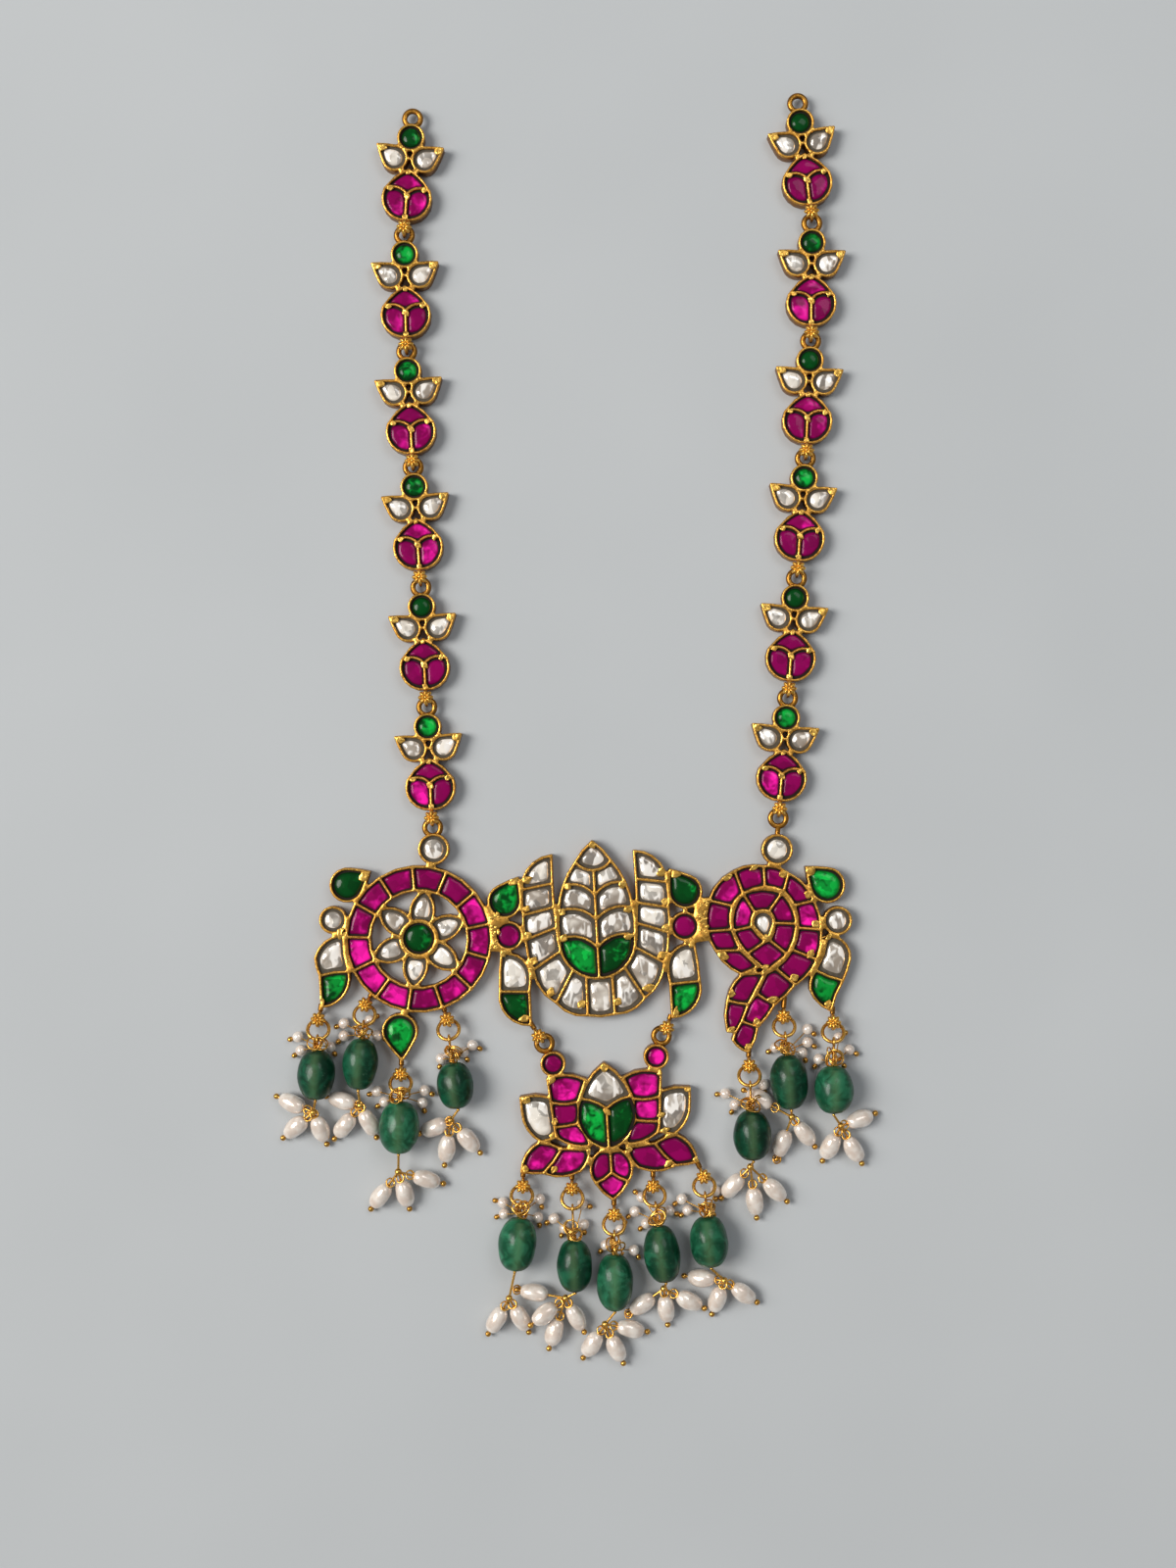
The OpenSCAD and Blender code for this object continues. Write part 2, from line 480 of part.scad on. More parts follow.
for (k = [1 : 6]) {
    color(gold) on_link(left_rings, k - 1) link();
    color(gold) on_link(right_rings, k - 1) link();
}
color(green) chain_stones(left_rings, link_emerald);  // left_chain_emeralds
color(clear) chain_stones(left_rings, link_leaves);  // left_chain_polki
color(ruby) chain_stones(left_rings, link_bud);  // left_chain_rubies
color(green) chain_stones(right_rings, link_emerald);  // right_chain_emeralds
color(clear) chain_stones(right_rings, link_leaves);  // right_chain_polki
color(ruby) chain_stones(right_rings, link_bud);  // right_chain_rubies
front_frame();
color(ruby) stones(on_wheel(wheel_ring));  // wheel_rubies
color(clear)  // wheel_polki
    stones(on_wheel(concat(wheel_petals, wheel_top, wheel_side_white)));
color(green)  // wheel_emeralds
    stones(on_wheel(concat(wheel_hub, wheel_side_green)));
color(clear) stones(mark_white);  // mark_polki
color(green) stones(mark_green);  // mark_emeralds
color(ruby) stones(mark_red);  // mark_rubies
color(ruby)  // conch_rubies
    stones(on_conch(concat(band_cells(conch_ribs), conch_inner, conch_tail)));
color(clear)  // conch_polki
    stones(on_conch(concat(conch_drop, conch_top, conch_side_white)));
color(green) stones(on_conch(conch_side_green));  // conch_emerald
lotus_frame();
color(ruby) stones(lotus_red);  // lotus_rubies
color(clear) stones(lotus_white);  // lotus_polki
color(green) stones(lotus_green);  // lotus_emeralds
jump_rings(left_set);  // jump_rings_left
jump_rings(lotus_set);  // jump_rings_lotus
jump_rings(right_set);  // jump_rings_right
drop_wires(left_set);  // drop_wires_left
drop_wires(lotus_set);  // drop_wires_lotus
drop_wires(right_set);  // drop_wires_right
rice_pearls(left_set);  // rice_pearls_left
rice_pearls(lotus_set);  // rice_pearls_lotus
rice_pearls(right_set);  // rice_pearls_right
for (k = [1 : 12]) {
    color(green)
        bead(all_drops[k - 1][0], all_drops[k - 1][1]);
}
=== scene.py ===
# Looks of the kundan pendant necklace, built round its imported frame. Everything is in metres.
import math
import random

import bpy
import numpy as np
from mathutils import Matrix, Vector, noise
from mathutils.bvhtree import BVHTree


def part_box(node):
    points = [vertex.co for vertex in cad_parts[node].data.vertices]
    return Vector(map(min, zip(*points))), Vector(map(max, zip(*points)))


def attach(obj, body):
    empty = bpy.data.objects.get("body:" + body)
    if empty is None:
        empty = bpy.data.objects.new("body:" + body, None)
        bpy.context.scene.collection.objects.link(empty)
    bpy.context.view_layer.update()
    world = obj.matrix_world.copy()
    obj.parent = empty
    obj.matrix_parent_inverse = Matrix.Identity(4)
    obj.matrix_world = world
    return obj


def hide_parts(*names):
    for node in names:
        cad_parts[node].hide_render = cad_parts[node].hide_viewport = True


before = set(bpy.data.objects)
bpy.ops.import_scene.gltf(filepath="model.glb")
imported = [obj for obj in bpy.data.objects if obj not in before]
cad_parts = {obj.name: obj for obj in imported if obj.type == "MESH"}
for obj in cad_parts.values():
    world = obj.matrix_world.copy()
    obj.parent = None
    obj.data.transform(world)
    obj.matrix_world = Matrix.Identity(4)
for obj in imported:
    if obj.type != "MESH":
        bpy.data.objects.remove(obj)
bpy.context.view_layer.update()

MM = 0.001
BODY = "root"
CHAINS = {side: [side + "_link_%d" % k for k in range(1, 7)] for side in ("left", "right")}
SETTINGS = CHAINS["left"] + CHAINS["right"] + ["front_frame", "lotus_frame"]
BEADS = ["emerald_bead_%d" % k for k in range(1, 13)]
DROP_SETS = ("left", "lotus", "right")

# Creases and bent wires follow vector noise, which without a seed is different in each run
noise.seed_set(5)

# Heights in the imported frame: tops of the walls, floors of the cells, where a stone begins to slope inwards,
# and tops of a flower's hub and star. HAIR is how near to one of them a point has to be.
WALL_TOP = 2.6 * MM
CELL_FLOOR = 0.8 * MM
CROWN = 1.8 * MM
HUB_TOP = 3.68 * MM
STAR_TOP = 3.48 * MM
HAIR = 0.02 * MM


# Working in edit mode

def deselect():
    for item in bpy.context.selected_objects:
        item.select_set(False)


def use(piece):
    deselect()
    piece.select_set(True)
    bpy.context.view_layer.objects.active = piece


def edit(piece, kind):
    use(piece)
    bpy.context.tool_settings.mesh_select_mode = (kind == "VERT", kind == "EDGE", kind == "FACE")
    bpy.ops.object.mode_set(mode="EDIT")


def leave():
    bpy.ops.object.mode_set(mode="OBJECT")


def places(mesh):
    spots = np.empty(len(mesh.vertices) * 3)
    mesh.vertices.foreach_get("co", spots)
    return spots.reshape(-1, 3)


def put_back(mesh, spots):
    mesh.vertices.foreach_set("co", np.ascontiguousarray(spots, dtype=np.float32).ravel())
    mesh.update()


def pick(piece, kind, chosen):
    """Opens a piece in edit mode with only the chosen points or faces selected."""
    mesh = piece.data
    for one, items in (("VERT", mesh.vertices), ("EDGE", mesh.edges), ("FACE", mesh.polygons)):
        items.foreach_set("select", chosen if one == kind else np.zeros(len(items), bool))
    edit(piece, kind)


def faces_of(piece):
    """Directions and middles of the faces of a piece."""
    faces = piece.data.polygons
    normals = np.empty(len(faces) * 3)
    middles = np.empty(len(faces) * 3)
    faces.foreach_get("normal", normals)
    faces.foreach_get("center", middles)
    return normals.reshape(-1, 3), middles.reshape(-1, 3)


def level_faces(piece, height):
    """Which faces of a piece look up and lie at a height."""
    normals, middles = faces_of(piece)
    return (normals[:, 2] > 0.99) & (abs(middles[:, 2] - height) < HAIR)


def turn_outwards():
    """All faces of the piece in edit mode look outwards."""
    bpy.ops.mesh.select_all(action="SELECT")
    bpy.ops.mesh.normals_make_consistent(inside=False)


def mark_points(piece, name, values):
    """Gives each point of a piece a number that its material reads."""
    numbers = piece.data.attributes.new(name, "FLOAT", "POINT")
    numbers.data.foreach_set("value", np.asarray(values, np.float32))


def apply_modifiers(piece):
    use(piece)
    for step in list(piece.modifiers):
        bpy.ops.object.modifier_apply(modifier=step.name)


def shade(piece, angle):
    use(piece)
    bpy.ops.object.shade_smooth_by_angle(angle=math.radians(angle))


def copy_of(node, name):
    piece = bpy.data.objects.new(name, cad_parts[node].data.copy())
    bpy.context.collection.objects.link(piece)
    piece.data.materials.clear()
    edit(piece, "VERT")
    bpy.ops.mesh.select_all(action="SELECT")
    bpy.ops.mesh.remove_doubles(threshold=0.002 * MM)
    leave()
    bpy.ops.mesh.customdata_custom_splitnormals_clear()
    return piece


def dress(piece, finish):
    piece.data.materials.clear()
    piece.data.materials.append(finish)
    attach(piece, BODY)


def islands(mesh):
    """Vertex numbers of each loose part of a mesh."""
    ends = np.empty(len(mesh.edges) * 2, np.int64)
    mesh.edges.foreach_get("vertices", ends)
    ends = ends.reshape(-1, 2)
    label = np.arange(len(mesh.vertices))
    while True:
        low = np.minimum(label[ends[:, 0]], label[ends[:, 1]])
        new = label.copy()
        np.minimum.at(new, ends[:, 0], low)
        np.minimum.at(new, ends[:, 1], low)
        new = new[new]
        if (new == label).all():
            return [np.flatnonzero(label == k) for k in np.unique(label)]
        label = new


def sphere(sides, rings, radius=1):
    bpy.ops.mesh.primitive_uv_sphere_add(segments=sides, ring_count=rings, radius=radius)
    return bpy.context.object


def placed(template, matrix):
    copy = template.copy()
    copy.data = template.data.copy()
    bpy.context.collection.objects.link(copy)
    copy.data.transform(matrix)
    return copy


def joined(parts, name):
    deselect()
    for part in parts:
        part.select_set(True)
    bpy.context.view_layer.objects.active = parts[0]
    bpy.ops.object.join()
    parts[0].name = name
    return parts[0]


def many(template, matrices, name):
    """One piece from a template that is repeated at each matrix; the template itself is used up."""
    parts = [placed(template, m) for m in matrices]
    bpy.data.objects.remove(template)
    return joined(parts, name)


def trim(template, matrices, name, finish):
    """A dressed piece from a template that is repeated at each matrix."""
    dress(many(template, matrices, name), finish)


def turned(angle, axis="Z"):
    return Matrix.Rotation(angle, 4, axis)


def scaled(x, y, z):
    return Matrix.Diagonal((x, y, z, 1))


def along(axis, spot, roll=0):
    """A matrix that rolls round +Z, turns +Z to an axis and moves to a spot."""
    turn = Vector((0, 0, 1)).rotation_difference(Vector(axis)).to_matrix().to_4x4()
    return Matrix.Translation(spot) @ turn @ turned(roll)


# Materials

def node(tree, kind, values=None, **settings):
    made = tree.nodes.new("ShaderNode" + kind)
    for key, value in settings.items():
        setattr(made, key, value)
    for key, value in (values or {}).items():
        if isinstance(value, bpy.types.NodeSocket):
            tree.links.new(value, made.inputs[key])
        else:
            made.inputs[key].default_value = value
    return made


def group(name, inputs, outputs):
    """A node group with inputs, each with its value, and outputs, all of them plain numbers."""
    tree = bpy.data.node_groups.new(name, "ShaderNodeTree")
    for key, value in inputs.items():
        socket = tree.interface.new_socket(key, in_out="INPUT", socket_type="NodeSocketFloat")
        socket.default_value = value
    for key in outputs:
        tree.interface.new_socket(key, in_out="OUTPUT", socket_type="NodeSocketFloat")
    return tree, tree.nodes.new("NodeGroupInput").outputs, tree.nodes.new("NodeGroupOutput").inputs


def use_group(tree, source, **values):
    made = tree.nodes.new("ShaderNodeGroup")
    made.node_tree = source
    for key, value in values.items():
        made.inputs[key.capitalize()].default_value = value
    return made.outputs


def maths(tree, operation, a, b, c=0.5):
    return node(tree, "Math", {0: a, 1: b, 2: c}, operation=operation).outputs[0]


def times(tree, value, factor):
    return maths(tree, "MULTIPLY", value, factor)


def both_ways(tree, value):
    """A value from 0 to 1, spread over -1 to 1."""
    return maths(tree, "MULTIPLY_ADD", value, 2, -1)


def ramp(tree, value, low, high):
    """0 up to low, 1 from high on, and a smooth rise between."""
    return node(tree, "MapRange", {"Value": value, "From Min": low, "From Max": high},
                interpolation_type="SMOOTHSTEP").outputs[0]


def mixed(tree, share, first, second):
    """Mix of two colours, each three numbers or a socket."""
    made = tree.nodes.new("ShaderNodeMix")
    made.data_type = "RGBA"
    sockets = [s for s in made.inputs if s.type == "RGBA"]
    for socket, value in zip(sockets, (first, second)):
        if isinstance(value, bpy.types.NodeSocket):
            tree.links.new(value, socket)
        else:
            socket.default_value = (*value, 1)
    tree.links.new(share, made.inputs[0])
    return next(s for s in made.outputs if s.type == "RGBA")


def marked(tree, name):
    """What mark_points gave to the points of a piece."""
    return node(tree, "Attribute", attribute_name=name).outputs["Fac"]


def spots_of(tree):
    return tree.nodes.new("ShaderNodeTexCoord").outputs["Object"]


def noise_at(tree, where, scale, detail=2, distortion=0):
    """Noise from 0 to 1 at the given spots."""
    values = {"Vector": where, "Scale": scale, "Detail": detail, "Distortion": distortion}
    return node(tree, "TexNoise", values).outputs["Fac"]


def blurred(tree, size, detail=2, distortion=0):
    """Noise from 0 to 1 over a piece, with features of about the given size in metres."""
    return noise_at(tree, spots_of(tree), 1 / size, detail, distortion)


def bumped(tree, height, strength, depth):
    return node(tree, "Bump", {"Height": height, "Strength": strength, "Distance": depth}).outputs[0]


def start(name):
    made = bpy.data.materials.new(name)
    made.use_nodes = True
    return made, made.node_tree


def finish_up(made, links, values):
    """Joins sockets to the shader of a material and sets its plain values."""
    shader = made.node_tree.nodes["Principled BSDF"]
    for key, socket in links.items():
        made.node_tree.links.new(socket, shader.inputs[key])
    for key, value in values.items():
        shader.inputs[key].default_value = value
    return made


def hand_worked_and_shade():
    """Dents and pits of gold worked by hand, a mask of painted shade on what lies low, and masks of patina and
    of dark specks.
    """
    tree, given, out = group("hand_worked_and_shade", {"Dent": 1.0, "Low": 0.8, "High": 2.4},
                             ("Height", "Depth", "Patina", "Specks"))
    dents = times(tree, blurred(tree, 0.9 * MM, 2), given["Dent"])
    pits = times(tree, blurred(tree, 0.16 * MM, 3), 0.35)
    tree.links.new(maths(tree, "ADD", dents, pits), out["Height"])
    # Painted shade: the mask grows from the height High down to Low, where shade falls in the cells and on the
    # low sides
    z = node(tree, "SeparateXYZ", {0: spots_of(tree)}).outputs["Z"]
    z = times(tree, z, 1 / MM)
    depth = node(tree, "MapRange", {"Value": z, "From Min": given["High"], "From Max": given["Low"]})
    tree.links.new(depth.outputs[0], out["Depth"])
    tree.links.new(ramp(tree, blurred(tree, 1.7 * MM, 4), 0.42, 0.68), out["Patina"])
    tree.links.new(ramp(tree, blurred(tree, 0.4 * MM, 3), 0.5, 0.64), out["Specks"])
    return tree


def foil_glow():
    """Where painted light from the foil lights up a stone, from its cut attribute: across, up, share and tone.
    """
    tree, given, out = group(
        "foil_glow", {"Across": 0.8, "Up": -0.2, "Mottle": 0.5, "Size": 0.9, "Low": 0.1, "High": 0.6},
        ("Painted_light", "Rim", "Ripple", "Streak", "Facet"))
    cut = node(tree, "Attribute", attribute_name="cut")
    parts = node(tree, "SeparateColor", {0: cut.outputs["Color"]}).outputs
    where = node(tree, "VectorMath", {0: spots_of(tree), "Scale": 1 / MM}, operation="SCALE").outputs[0]
    mottle = noise_at(tree, where, maths(tree, "DIVIDE", 1, given["Size"]), 1.5, 0.4)
    across = times(tree, both_ways(tree, parts[0]), given["Across"])
    up = times(tree, both_ways(tree, parts[1]), given["Up"])
    lit = maths(tree, "ADD", across, up)
    lit = maths(tree, "ADD", lit, times(tree, both_ways(tree, mottle), given["Mottle"]))
    lit = maths(tree, "ADD", lit, both_ways(tree, cut.outputs["Alpha"]))
    # Painted light, towards one side of each stone, and more of it the higher its tone
    tree.links.new(ramp(tree, lit, given["Low"], given["High"]), out["Painted_light"])
    tree.links.new(parts[2], out["Rim"])
    tree.links.new(noise_at(tree, where, 2.4, 2, 1.2), out["Ripple"])
    # Streaks, which the polki use as painted highlights
    drawn_out = node(tree, "Mapping", {"Vector": where, "Scale": (0.8, 0.36, 1)}).outputs[0]
    tree.links.new(noise_at(tree, drawn_out, 1, 1, 0.6), out["Streak"])
    # Facets, which the stones use as painted reflections and as bumps
    drift = node(tree, "TexNoise", {"Vector": where, "Scale": 0.6}).outputs["Color"]
    bent = node(tree, "VectorMath", {0: where, 1: drift}, operation="ADD").outputs[0]
    flats = node(tree, "TexVoronoi", {"Vector": bent, "Scale": 0.55}).outputs["Color"]
    tree.links.new(node(tree, "SeparateColor", {0: flats}).outputs[0], out["Facet"])
    return tree


HAND_WORKED_AND_SHADE = hand_worked_and_shade()
FOIL_GLOW = foil_glow()


# Share of red, green and blue that tarnished gold keeps
TARNISH = (0.52, 0.4, 0.22)


def gold(name, light, dark, low, high, dent, roughness):
    """Gold that is light above the height high and dark below the height low, both in millimetres; the dark
    below is painted shade.
    """
    made, tree = start(name)
    worked = use_group(tree, HAND_WORKED_AND_SHADE, dent=dent, low=low, high=high)
    # Painted shade: the gold turns to the colour dark towards what lies low
    base = mixed(tree, worked["Depth"], light, dark)
    tarnish = tuple(c * s for c, s in zip(light, TARNISH))
    base = mixed(tree, times(tree, worked["Patina"], 0.5), base, tarnish)
    # Dark specks at random are the gold's own marks, in the same colour as the painted shade
    base = mixed(tree, times(tree, worked["Specks"], 0.55), base, dark)
    rough = maths(tree, "MULTIPLY_ADD", worked["Patina"], 0.16, roughness)
    bump = bumped(tree, worked["Height"], 0.55, 0.1 * MM)
    return finish_up(made, {"Base Color": base, "Roughness": rough, "Normal": bump},
                     {"Metallic": 0.92, "Specular IOR Level": 0.5})


def coloured_stone(name, colours, glow, rim, coat, emit):
    """A foil-backed stone: deep and lit colours of painted light, a darker edge of painted shade, and light
    that comes back from the foil, painted into the colour and as a faint glow.
    """
    deep, lit, edge = colours
    made, tree = start(name)
    light = use_group(tree, FOIL_GLOW, **glow)
    base = mixed(tree, light["Painted_light"], deep, lit)
    # Painted reflections: some facets darker
    base = mixed(tree, times(tree, light["Facet"], 0.55), base, tuple(0.35 * c for c in deep))
    # Painted shade: the edge of each stone darker
    base = mixed(tree, ramp(tree, light["Rim"], *rim), base, edge)
    bump = bumped(tree, light["Ripple"], 0.25, 0.12 * MM)
    # The colour also glows a little: a painted glow of the foil
    return finish_up(made, {"Base Color": base, "Emission Color": base, "Normal": bump},
                     {"Roughness": 0.25, "Specular IOR Level": 0.05, "Coat Weight": coat,
                      "Coat Roughness": 0.04, "Emission Strength": emit})


def polki_finish():
    """Flat uncut diamonds over silver foil, in painted light: white and grey faces as painted reflections,
    painted highlight streaks, painted shade darker at the rim, and a faint painted glow.
    """
    made, tree = start("polki_over_foil")
    light = use_group(tree, FOIL_GLOW, across=-0.3, up=0.15, mottle=1.3, size=1.9, low=-0.8, high=0.7)
    # Painted reflections and painted shade: some faces darker grey, and the edge dimmer
    painted_dark_faces = times(tree, ramp(tree, light["Facet"], 0.5, 0.7), 0.55)
    painted_edge_shade = times(tree, ramp(tree, light["Rim"], 0.55, 0.9), 0.4)
    # Painted light over the foil
    base = mixed(tree, light["Painted_light"], (0.36, 0.3, 0.24), (1.0, 0.93, 0.82))
    base = mixed(tree, painted_dark_faces, base, (0.14, 0.13, 0.12))
    base = mixed(tree, painted_edge_shade, base, (0.27, 0.24, 0.2))
    # Painted highlight streaks
    base = mixed(tree, ramp(tree, light["Streak"], 0.49, 0.6), base, (1.0, 0.95, 0.88))
    # Painted shade at the very rim
    base = mixed(tree, ramp(tree, light["Rim"], 0.84, 1.0), base, (0.1, 0.085, 0.07))
    bump = bumped(tree, light["Facet"], 0.22, 0.2 * MM)
    # A faint painted glow in the stone's own colour
    return finish_up(made, {"Base Color": base, "Emission Color": base, "Normal": bump},
                     {"Metallic": 0.2, "Roughness": 0.14, "Coat Weight": 1.0, "Coat Roughness": 0.03,
                      "Emission Strength": 0.07})


def lac_and_shade_finish():
    """Lac round the stones: nearly black beside the coloured ones, which is partly painted shade in the gaps
    by the walls, and grey-beige under the clear ones.
    """
    made, tree = start("lac_and_shade_bed")
    grain = blurred(tree, 0.5 * MM, 3)
    # Nearly black: the lac's own dark colour together with painted shade in the gaps
    dark = mixed(tree, grain, (0.004, 0.003, 0.002), (0.022, 0.015, 0.01))
    pale = mixed(tree, grain, (0.035, 0.029, 0.02), (0.13, 0.11, 0.08))
    base = mixed(tree, marked(tree, "pale"), dark, pale)
    bump = bumped(tree, blurred(tree, 0.25 * MM, 3), 0.5, 0.1 * MM)
    return finish_up(made, {"Base Color": base, "Normal": bump},
                     {"Roughness": 0.6, "Specular IOR Level": 0.15})


def bead_finish():
    """Tumbled emerald: deep grey-green with paler clouds and a pale band along the drill hole."""
    made, tree = start("tumbled_emerald")
    clouds = ramp(tree, blurred(tree, 2.6 * MM, 4, distortion=1.2), 0.38, 0.72)
    specks = ramp(tree, blurred(tree, 0.55 * MM, 5), 0.58, 0.8)
    tone = marked(tree, "tone")
    deep = mixed(tree, tone, (0.0, 0.018, 0.008), (0.005, 0.07, 0.03))
    cloudy = mixed(tree, tone, (0.002, 0.06, 0.028), (0.03, 0.2, 0.1))
    base = mixed(tree, clouds, deep, cloudy)
    base = mixed(tree, times(tree, marked(tree, "drill"), 0.4), base, (0.12, 0.21, 0.09))
    base = mixed(tree, times(tree, specks, 0.3), base, (0.12, 0.24, 0.15))
    bump = bumped(tree, blurred(tree, 1.1 * MM, 3), 0.3, 0.12 * MM)
    return finish_up(made, {"Base Color": base, "Normal": bump},
                     {"Roughness": 0.32, "Specular IOR Level": 0.15, "Coat Weight": 0.18,
                      "Coat Roughness": 0.08, "Subsurface Weight": 0.3, "Subsurface Scale": 2 * MM,
                      "Subsurface Radius": (0.5, 1.0, 0.7)})


def pearl_finish():
    """Nacre: a warm cream with paler growths under a glossy coat."""
    made, tree = start("rice_pearl_lustre")
    growths = ramp(tree, blurred(tree, 1.4 * MM, 3), 0.35, 0.7)
    base = mixed(tree, growths, (0.78, 0.65, 0.55), (0.96, 0.88, 0.79))
    bump = bumped(tree, blurred(tree, 0.7 * MM, 3), 0.35, 0.12 * MM)
    return finish_up(made, {"Base Color": base, "Normal": bump},
                     {"Metallic": 0.2, "Roughness": 0.22, "Coat Weight": 1.0, "Coat Roughness": 0.07})


# The second colour of each gold is painted shade, reached below the height low
GOLD_WALLS = gold("antique_gold_walls", (0.88, 0.47, 0.09), (0.22, 0.085, 0.008),
                  low=1.9, high=2.5, dent=1.2, roughness=0.27)
GOLD_WIRE = gold("gold_wire", (0.87, 0.5, 0.11), (0.42, 0.19, 0.03),
                 low=0.3, high=2.2, dent=0.4, roughness=0.2)
GOLD_FOIL = gold("folded_gold_foil", (0.93, 0.56, 0.12), (0.34, 0.15, 0.015),
                 low=1.7, high=2.5, dent=1.3, roughness=0.28)
# Each stone: deep colour, lit colour of its painted light, and edge colour of its painted shade
RUBY = coloured_stone(
    "ruby_over_foil", ((0.22, 0.0, 0.075), (0.95, 0.012, 0.4), (0.05, 0.0, 0.02)),
    dict(across=0.55, up=-0.15, mottle=1.1, size=1.5, low=0.1, high=1.05),
    rim=(0.72, 1.05), coat=0.22, emit=0.25)
EMERALD = coloured_stone(
    "emerald_over_foil", ((0.0, 0.05, 0.006), (0.004, 0.42, 0.05), (0.0, 0.015, 0.003)),
    dict(across=0.6, up=0.1, mottle=1.2, size=1.1, low=-0.1, high=0.75),
    rim=(0.6, 1.05), coat=0.3, emit=0.28)
POLKI = polki_finish()
LAC_AND_SHADE = lac_and_shade_finish()
BEAD = bead_finish()
PEARL = pearl_finish()


# Settings: soldered walls with rounded tops, and the lac that the stones sit in, dark also as painted shade

# The top of a wall is cut down, and then steps in and up twice, each time by these amounts
TOP_CUT = 0.2 * MM
TOP_STEPS = [(0.05 * MM, 0.12 * MM), (0.09 * MM, 0.07 * MM)]

# A slab of lac in each cell: how far its top is above the floor, and how thick it is
LAC_RISE = 1.22 * MM
LAC_DEPTH = 1.1 * MM


def gold_setting(name):
    """One frame or link with rounded walls; returns the middle and turn of each flower on it."""
    piece = copy_of(name, name + "_gold")
    pick(piece, "FACE", level_faces(piece, WALL_TOP))
    bpy.ops.transform.translate(value=(0, 0, -TOP_CUT))
    for inwards, up in TOP_STEPS:
        bpy.ops.mesh.inset(thickness=inwards, depth=up)
    leave()
    flowers = flower_spots(piece)
    spots = places(piece.data)
    for middle, _ in flowers:
        hide_star(spots, middle)
    put_back(piece.data, spots)
    shade(piece, 50)
    dress(piece, GOLD_WALLS)
    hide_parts(name)
    return flowers


def lac_and_shade_bed(name, stones):
    """Lac in the cells of one setting, dark also as painted shade in the gaps round the stones; stones lists
    the middle of each stone, and 1 if it is clear.
    """
    piece = copy_of(name, name + "_lac_and_shade")
    pick(piece, "FACE", ~level_faces(piece, CELL_FLOOR))
    bpy.ops.mesh.delete(type="FACE")
    bpy.ops.mesh.select_all(action="SELECT")
    bpy.ops.transform.translate(value=(0, 0, LAC_RISE))
    bpy.ops.mesh.extrude_region_move(TRANSFORM_OT_translate={"value": (0, 0, -LAC_DEPTH)})
    turn_outwards()
    leave()
    spots = places(piece.data)
    pale = np.zeros(len(spots))
    for cell in islands(piece.data):
        middle = (spots[cell, :2].max(axis=0) + spots[cell, :2].min(axis=0)) / 2
        pale[cell] = min(stones, key=lambda stone: math.dist(stone[0], middle))[1]
    mark_points(piece, "pale", pale)
    dress(piece, LAC_AND_SHADE)


# Stones

# Profiles of the stones from the bottom up: share of the way out to the girdle, and height in millimetres
SLAB = [
    (0, 0.9), (0.75, 0.9), (0.95, 0.92), (1, 1.05), (1, 1.66), (0.985, 1.86), (0.95, 2.02),
    (0.89, 2.15), (0.82, 2.22), (0.6, 2.26), (0.3, 2.3), (0, 2.31)]
PILLOW = [
    (0, 0.9), (0.75, 0.9), (0.95, 0.92), (1, 1.05), (1, 1.4), (0.97, 1.66), (0.9, 1.9), (0.79, 2.1),
    (0.64, 2.22), (0.44, 2.3), (0.22, 2.34), (0, 2.35)]
CABOCHON = [
    (0, 0.9), (0.75, 0.9), (0.95, 0.92), (1, 1.05), (1, 1.6), (0.98, 1.86), (0.92, 2.08),
    (0.83, 2.25), (0.68, 2.39), (0.48, 2.48), (0.25, 2.53), (0, 2.54)]

# Sides of a stone, and points on the line of its girdle for each side before the line is thinned out
SIDES = 40
FINE = 6

# Uneven faces begin at one height and grow over the next stretch, both in millimetres. WAVE is the size of
# a swell, LEAN the most a table leans, and nothing rises above STONE_LIMIT, just under the walls.
UNEVEN_FROM, UNEVEN_OVER = 1.5, 0.8
WAVE = 1.6 * MM
LEAN = 0.03
STONE_LIMIT = 2.56 * MM

# Stones that the painted light picks out: x and y in millimetres, and a tone from 0, deep, to 1, all lit. A
# stone is one of them within TONE_REACH of that spot, and any other gets a tone between PLAIN_TONES.
TONES = [
    (-33.5, 8.5, 0.5), (-36.8, 6.2, 0.55), (-39.8, 2.0, 0.62), (-40.2, -3.2, 0.95),
    (-38.2, -7.6, 0.9), (-33.3, -10.9, 0.85), (-29.0, -11.6, 0.55), (-2.7, -4.0, 0.8),
    (3.0, -4.0, 0.4), (-0.2, -31.9, 0.7), (4.4, -31.9, 0.3), (-15.4, 5.6, 0.6), (15.3, 7.2, 0.35),
    (-30.0, -0.9, 0.4), (10.4, -20.9, 0.75), (-15.0, -0.8, 0.6), (15.2, 0.4, 0.3)]
TONE_REACH = 2 * MM
PLAIN_TONES = (0.05, 0.84)

# Ways to cut: finish, slot, profile, how far the corners are softened, fit in the girdle and height of the
# swells in millimetres, and then the nodes that are cut so
CUTS = (
    ((RUBY, "ruby", SLAB, 0.55 * MM, 1.0, 0.08),
     ("left_chain_rubies", "right_chain_rubies", "mark_rubies", "conch_rubies", "lotus_rubies")),
    ((RUBY, "ruby", SLAB, 0.28 * MM, 0.99, 0.06), ("wheel_rubies",)),
    ((POLKI, "polki", PILLOW, 0.75 * MM, 1.02, 0.14),
     ("left_chain_polki", "right_chain_polki", "wheel_polki", "mark_polki", "conch_polki", "lotus_polki")),
    ((EMERALD, "emerald", CABOCHON, 0.5 * MM, 1.02, 0.06),
     ("left_chain_emeralds", "right_chain_emeralds", "wheel_emeralds", "mark_emeralds", "conch_emerald",
      "lotus_emeralds")))


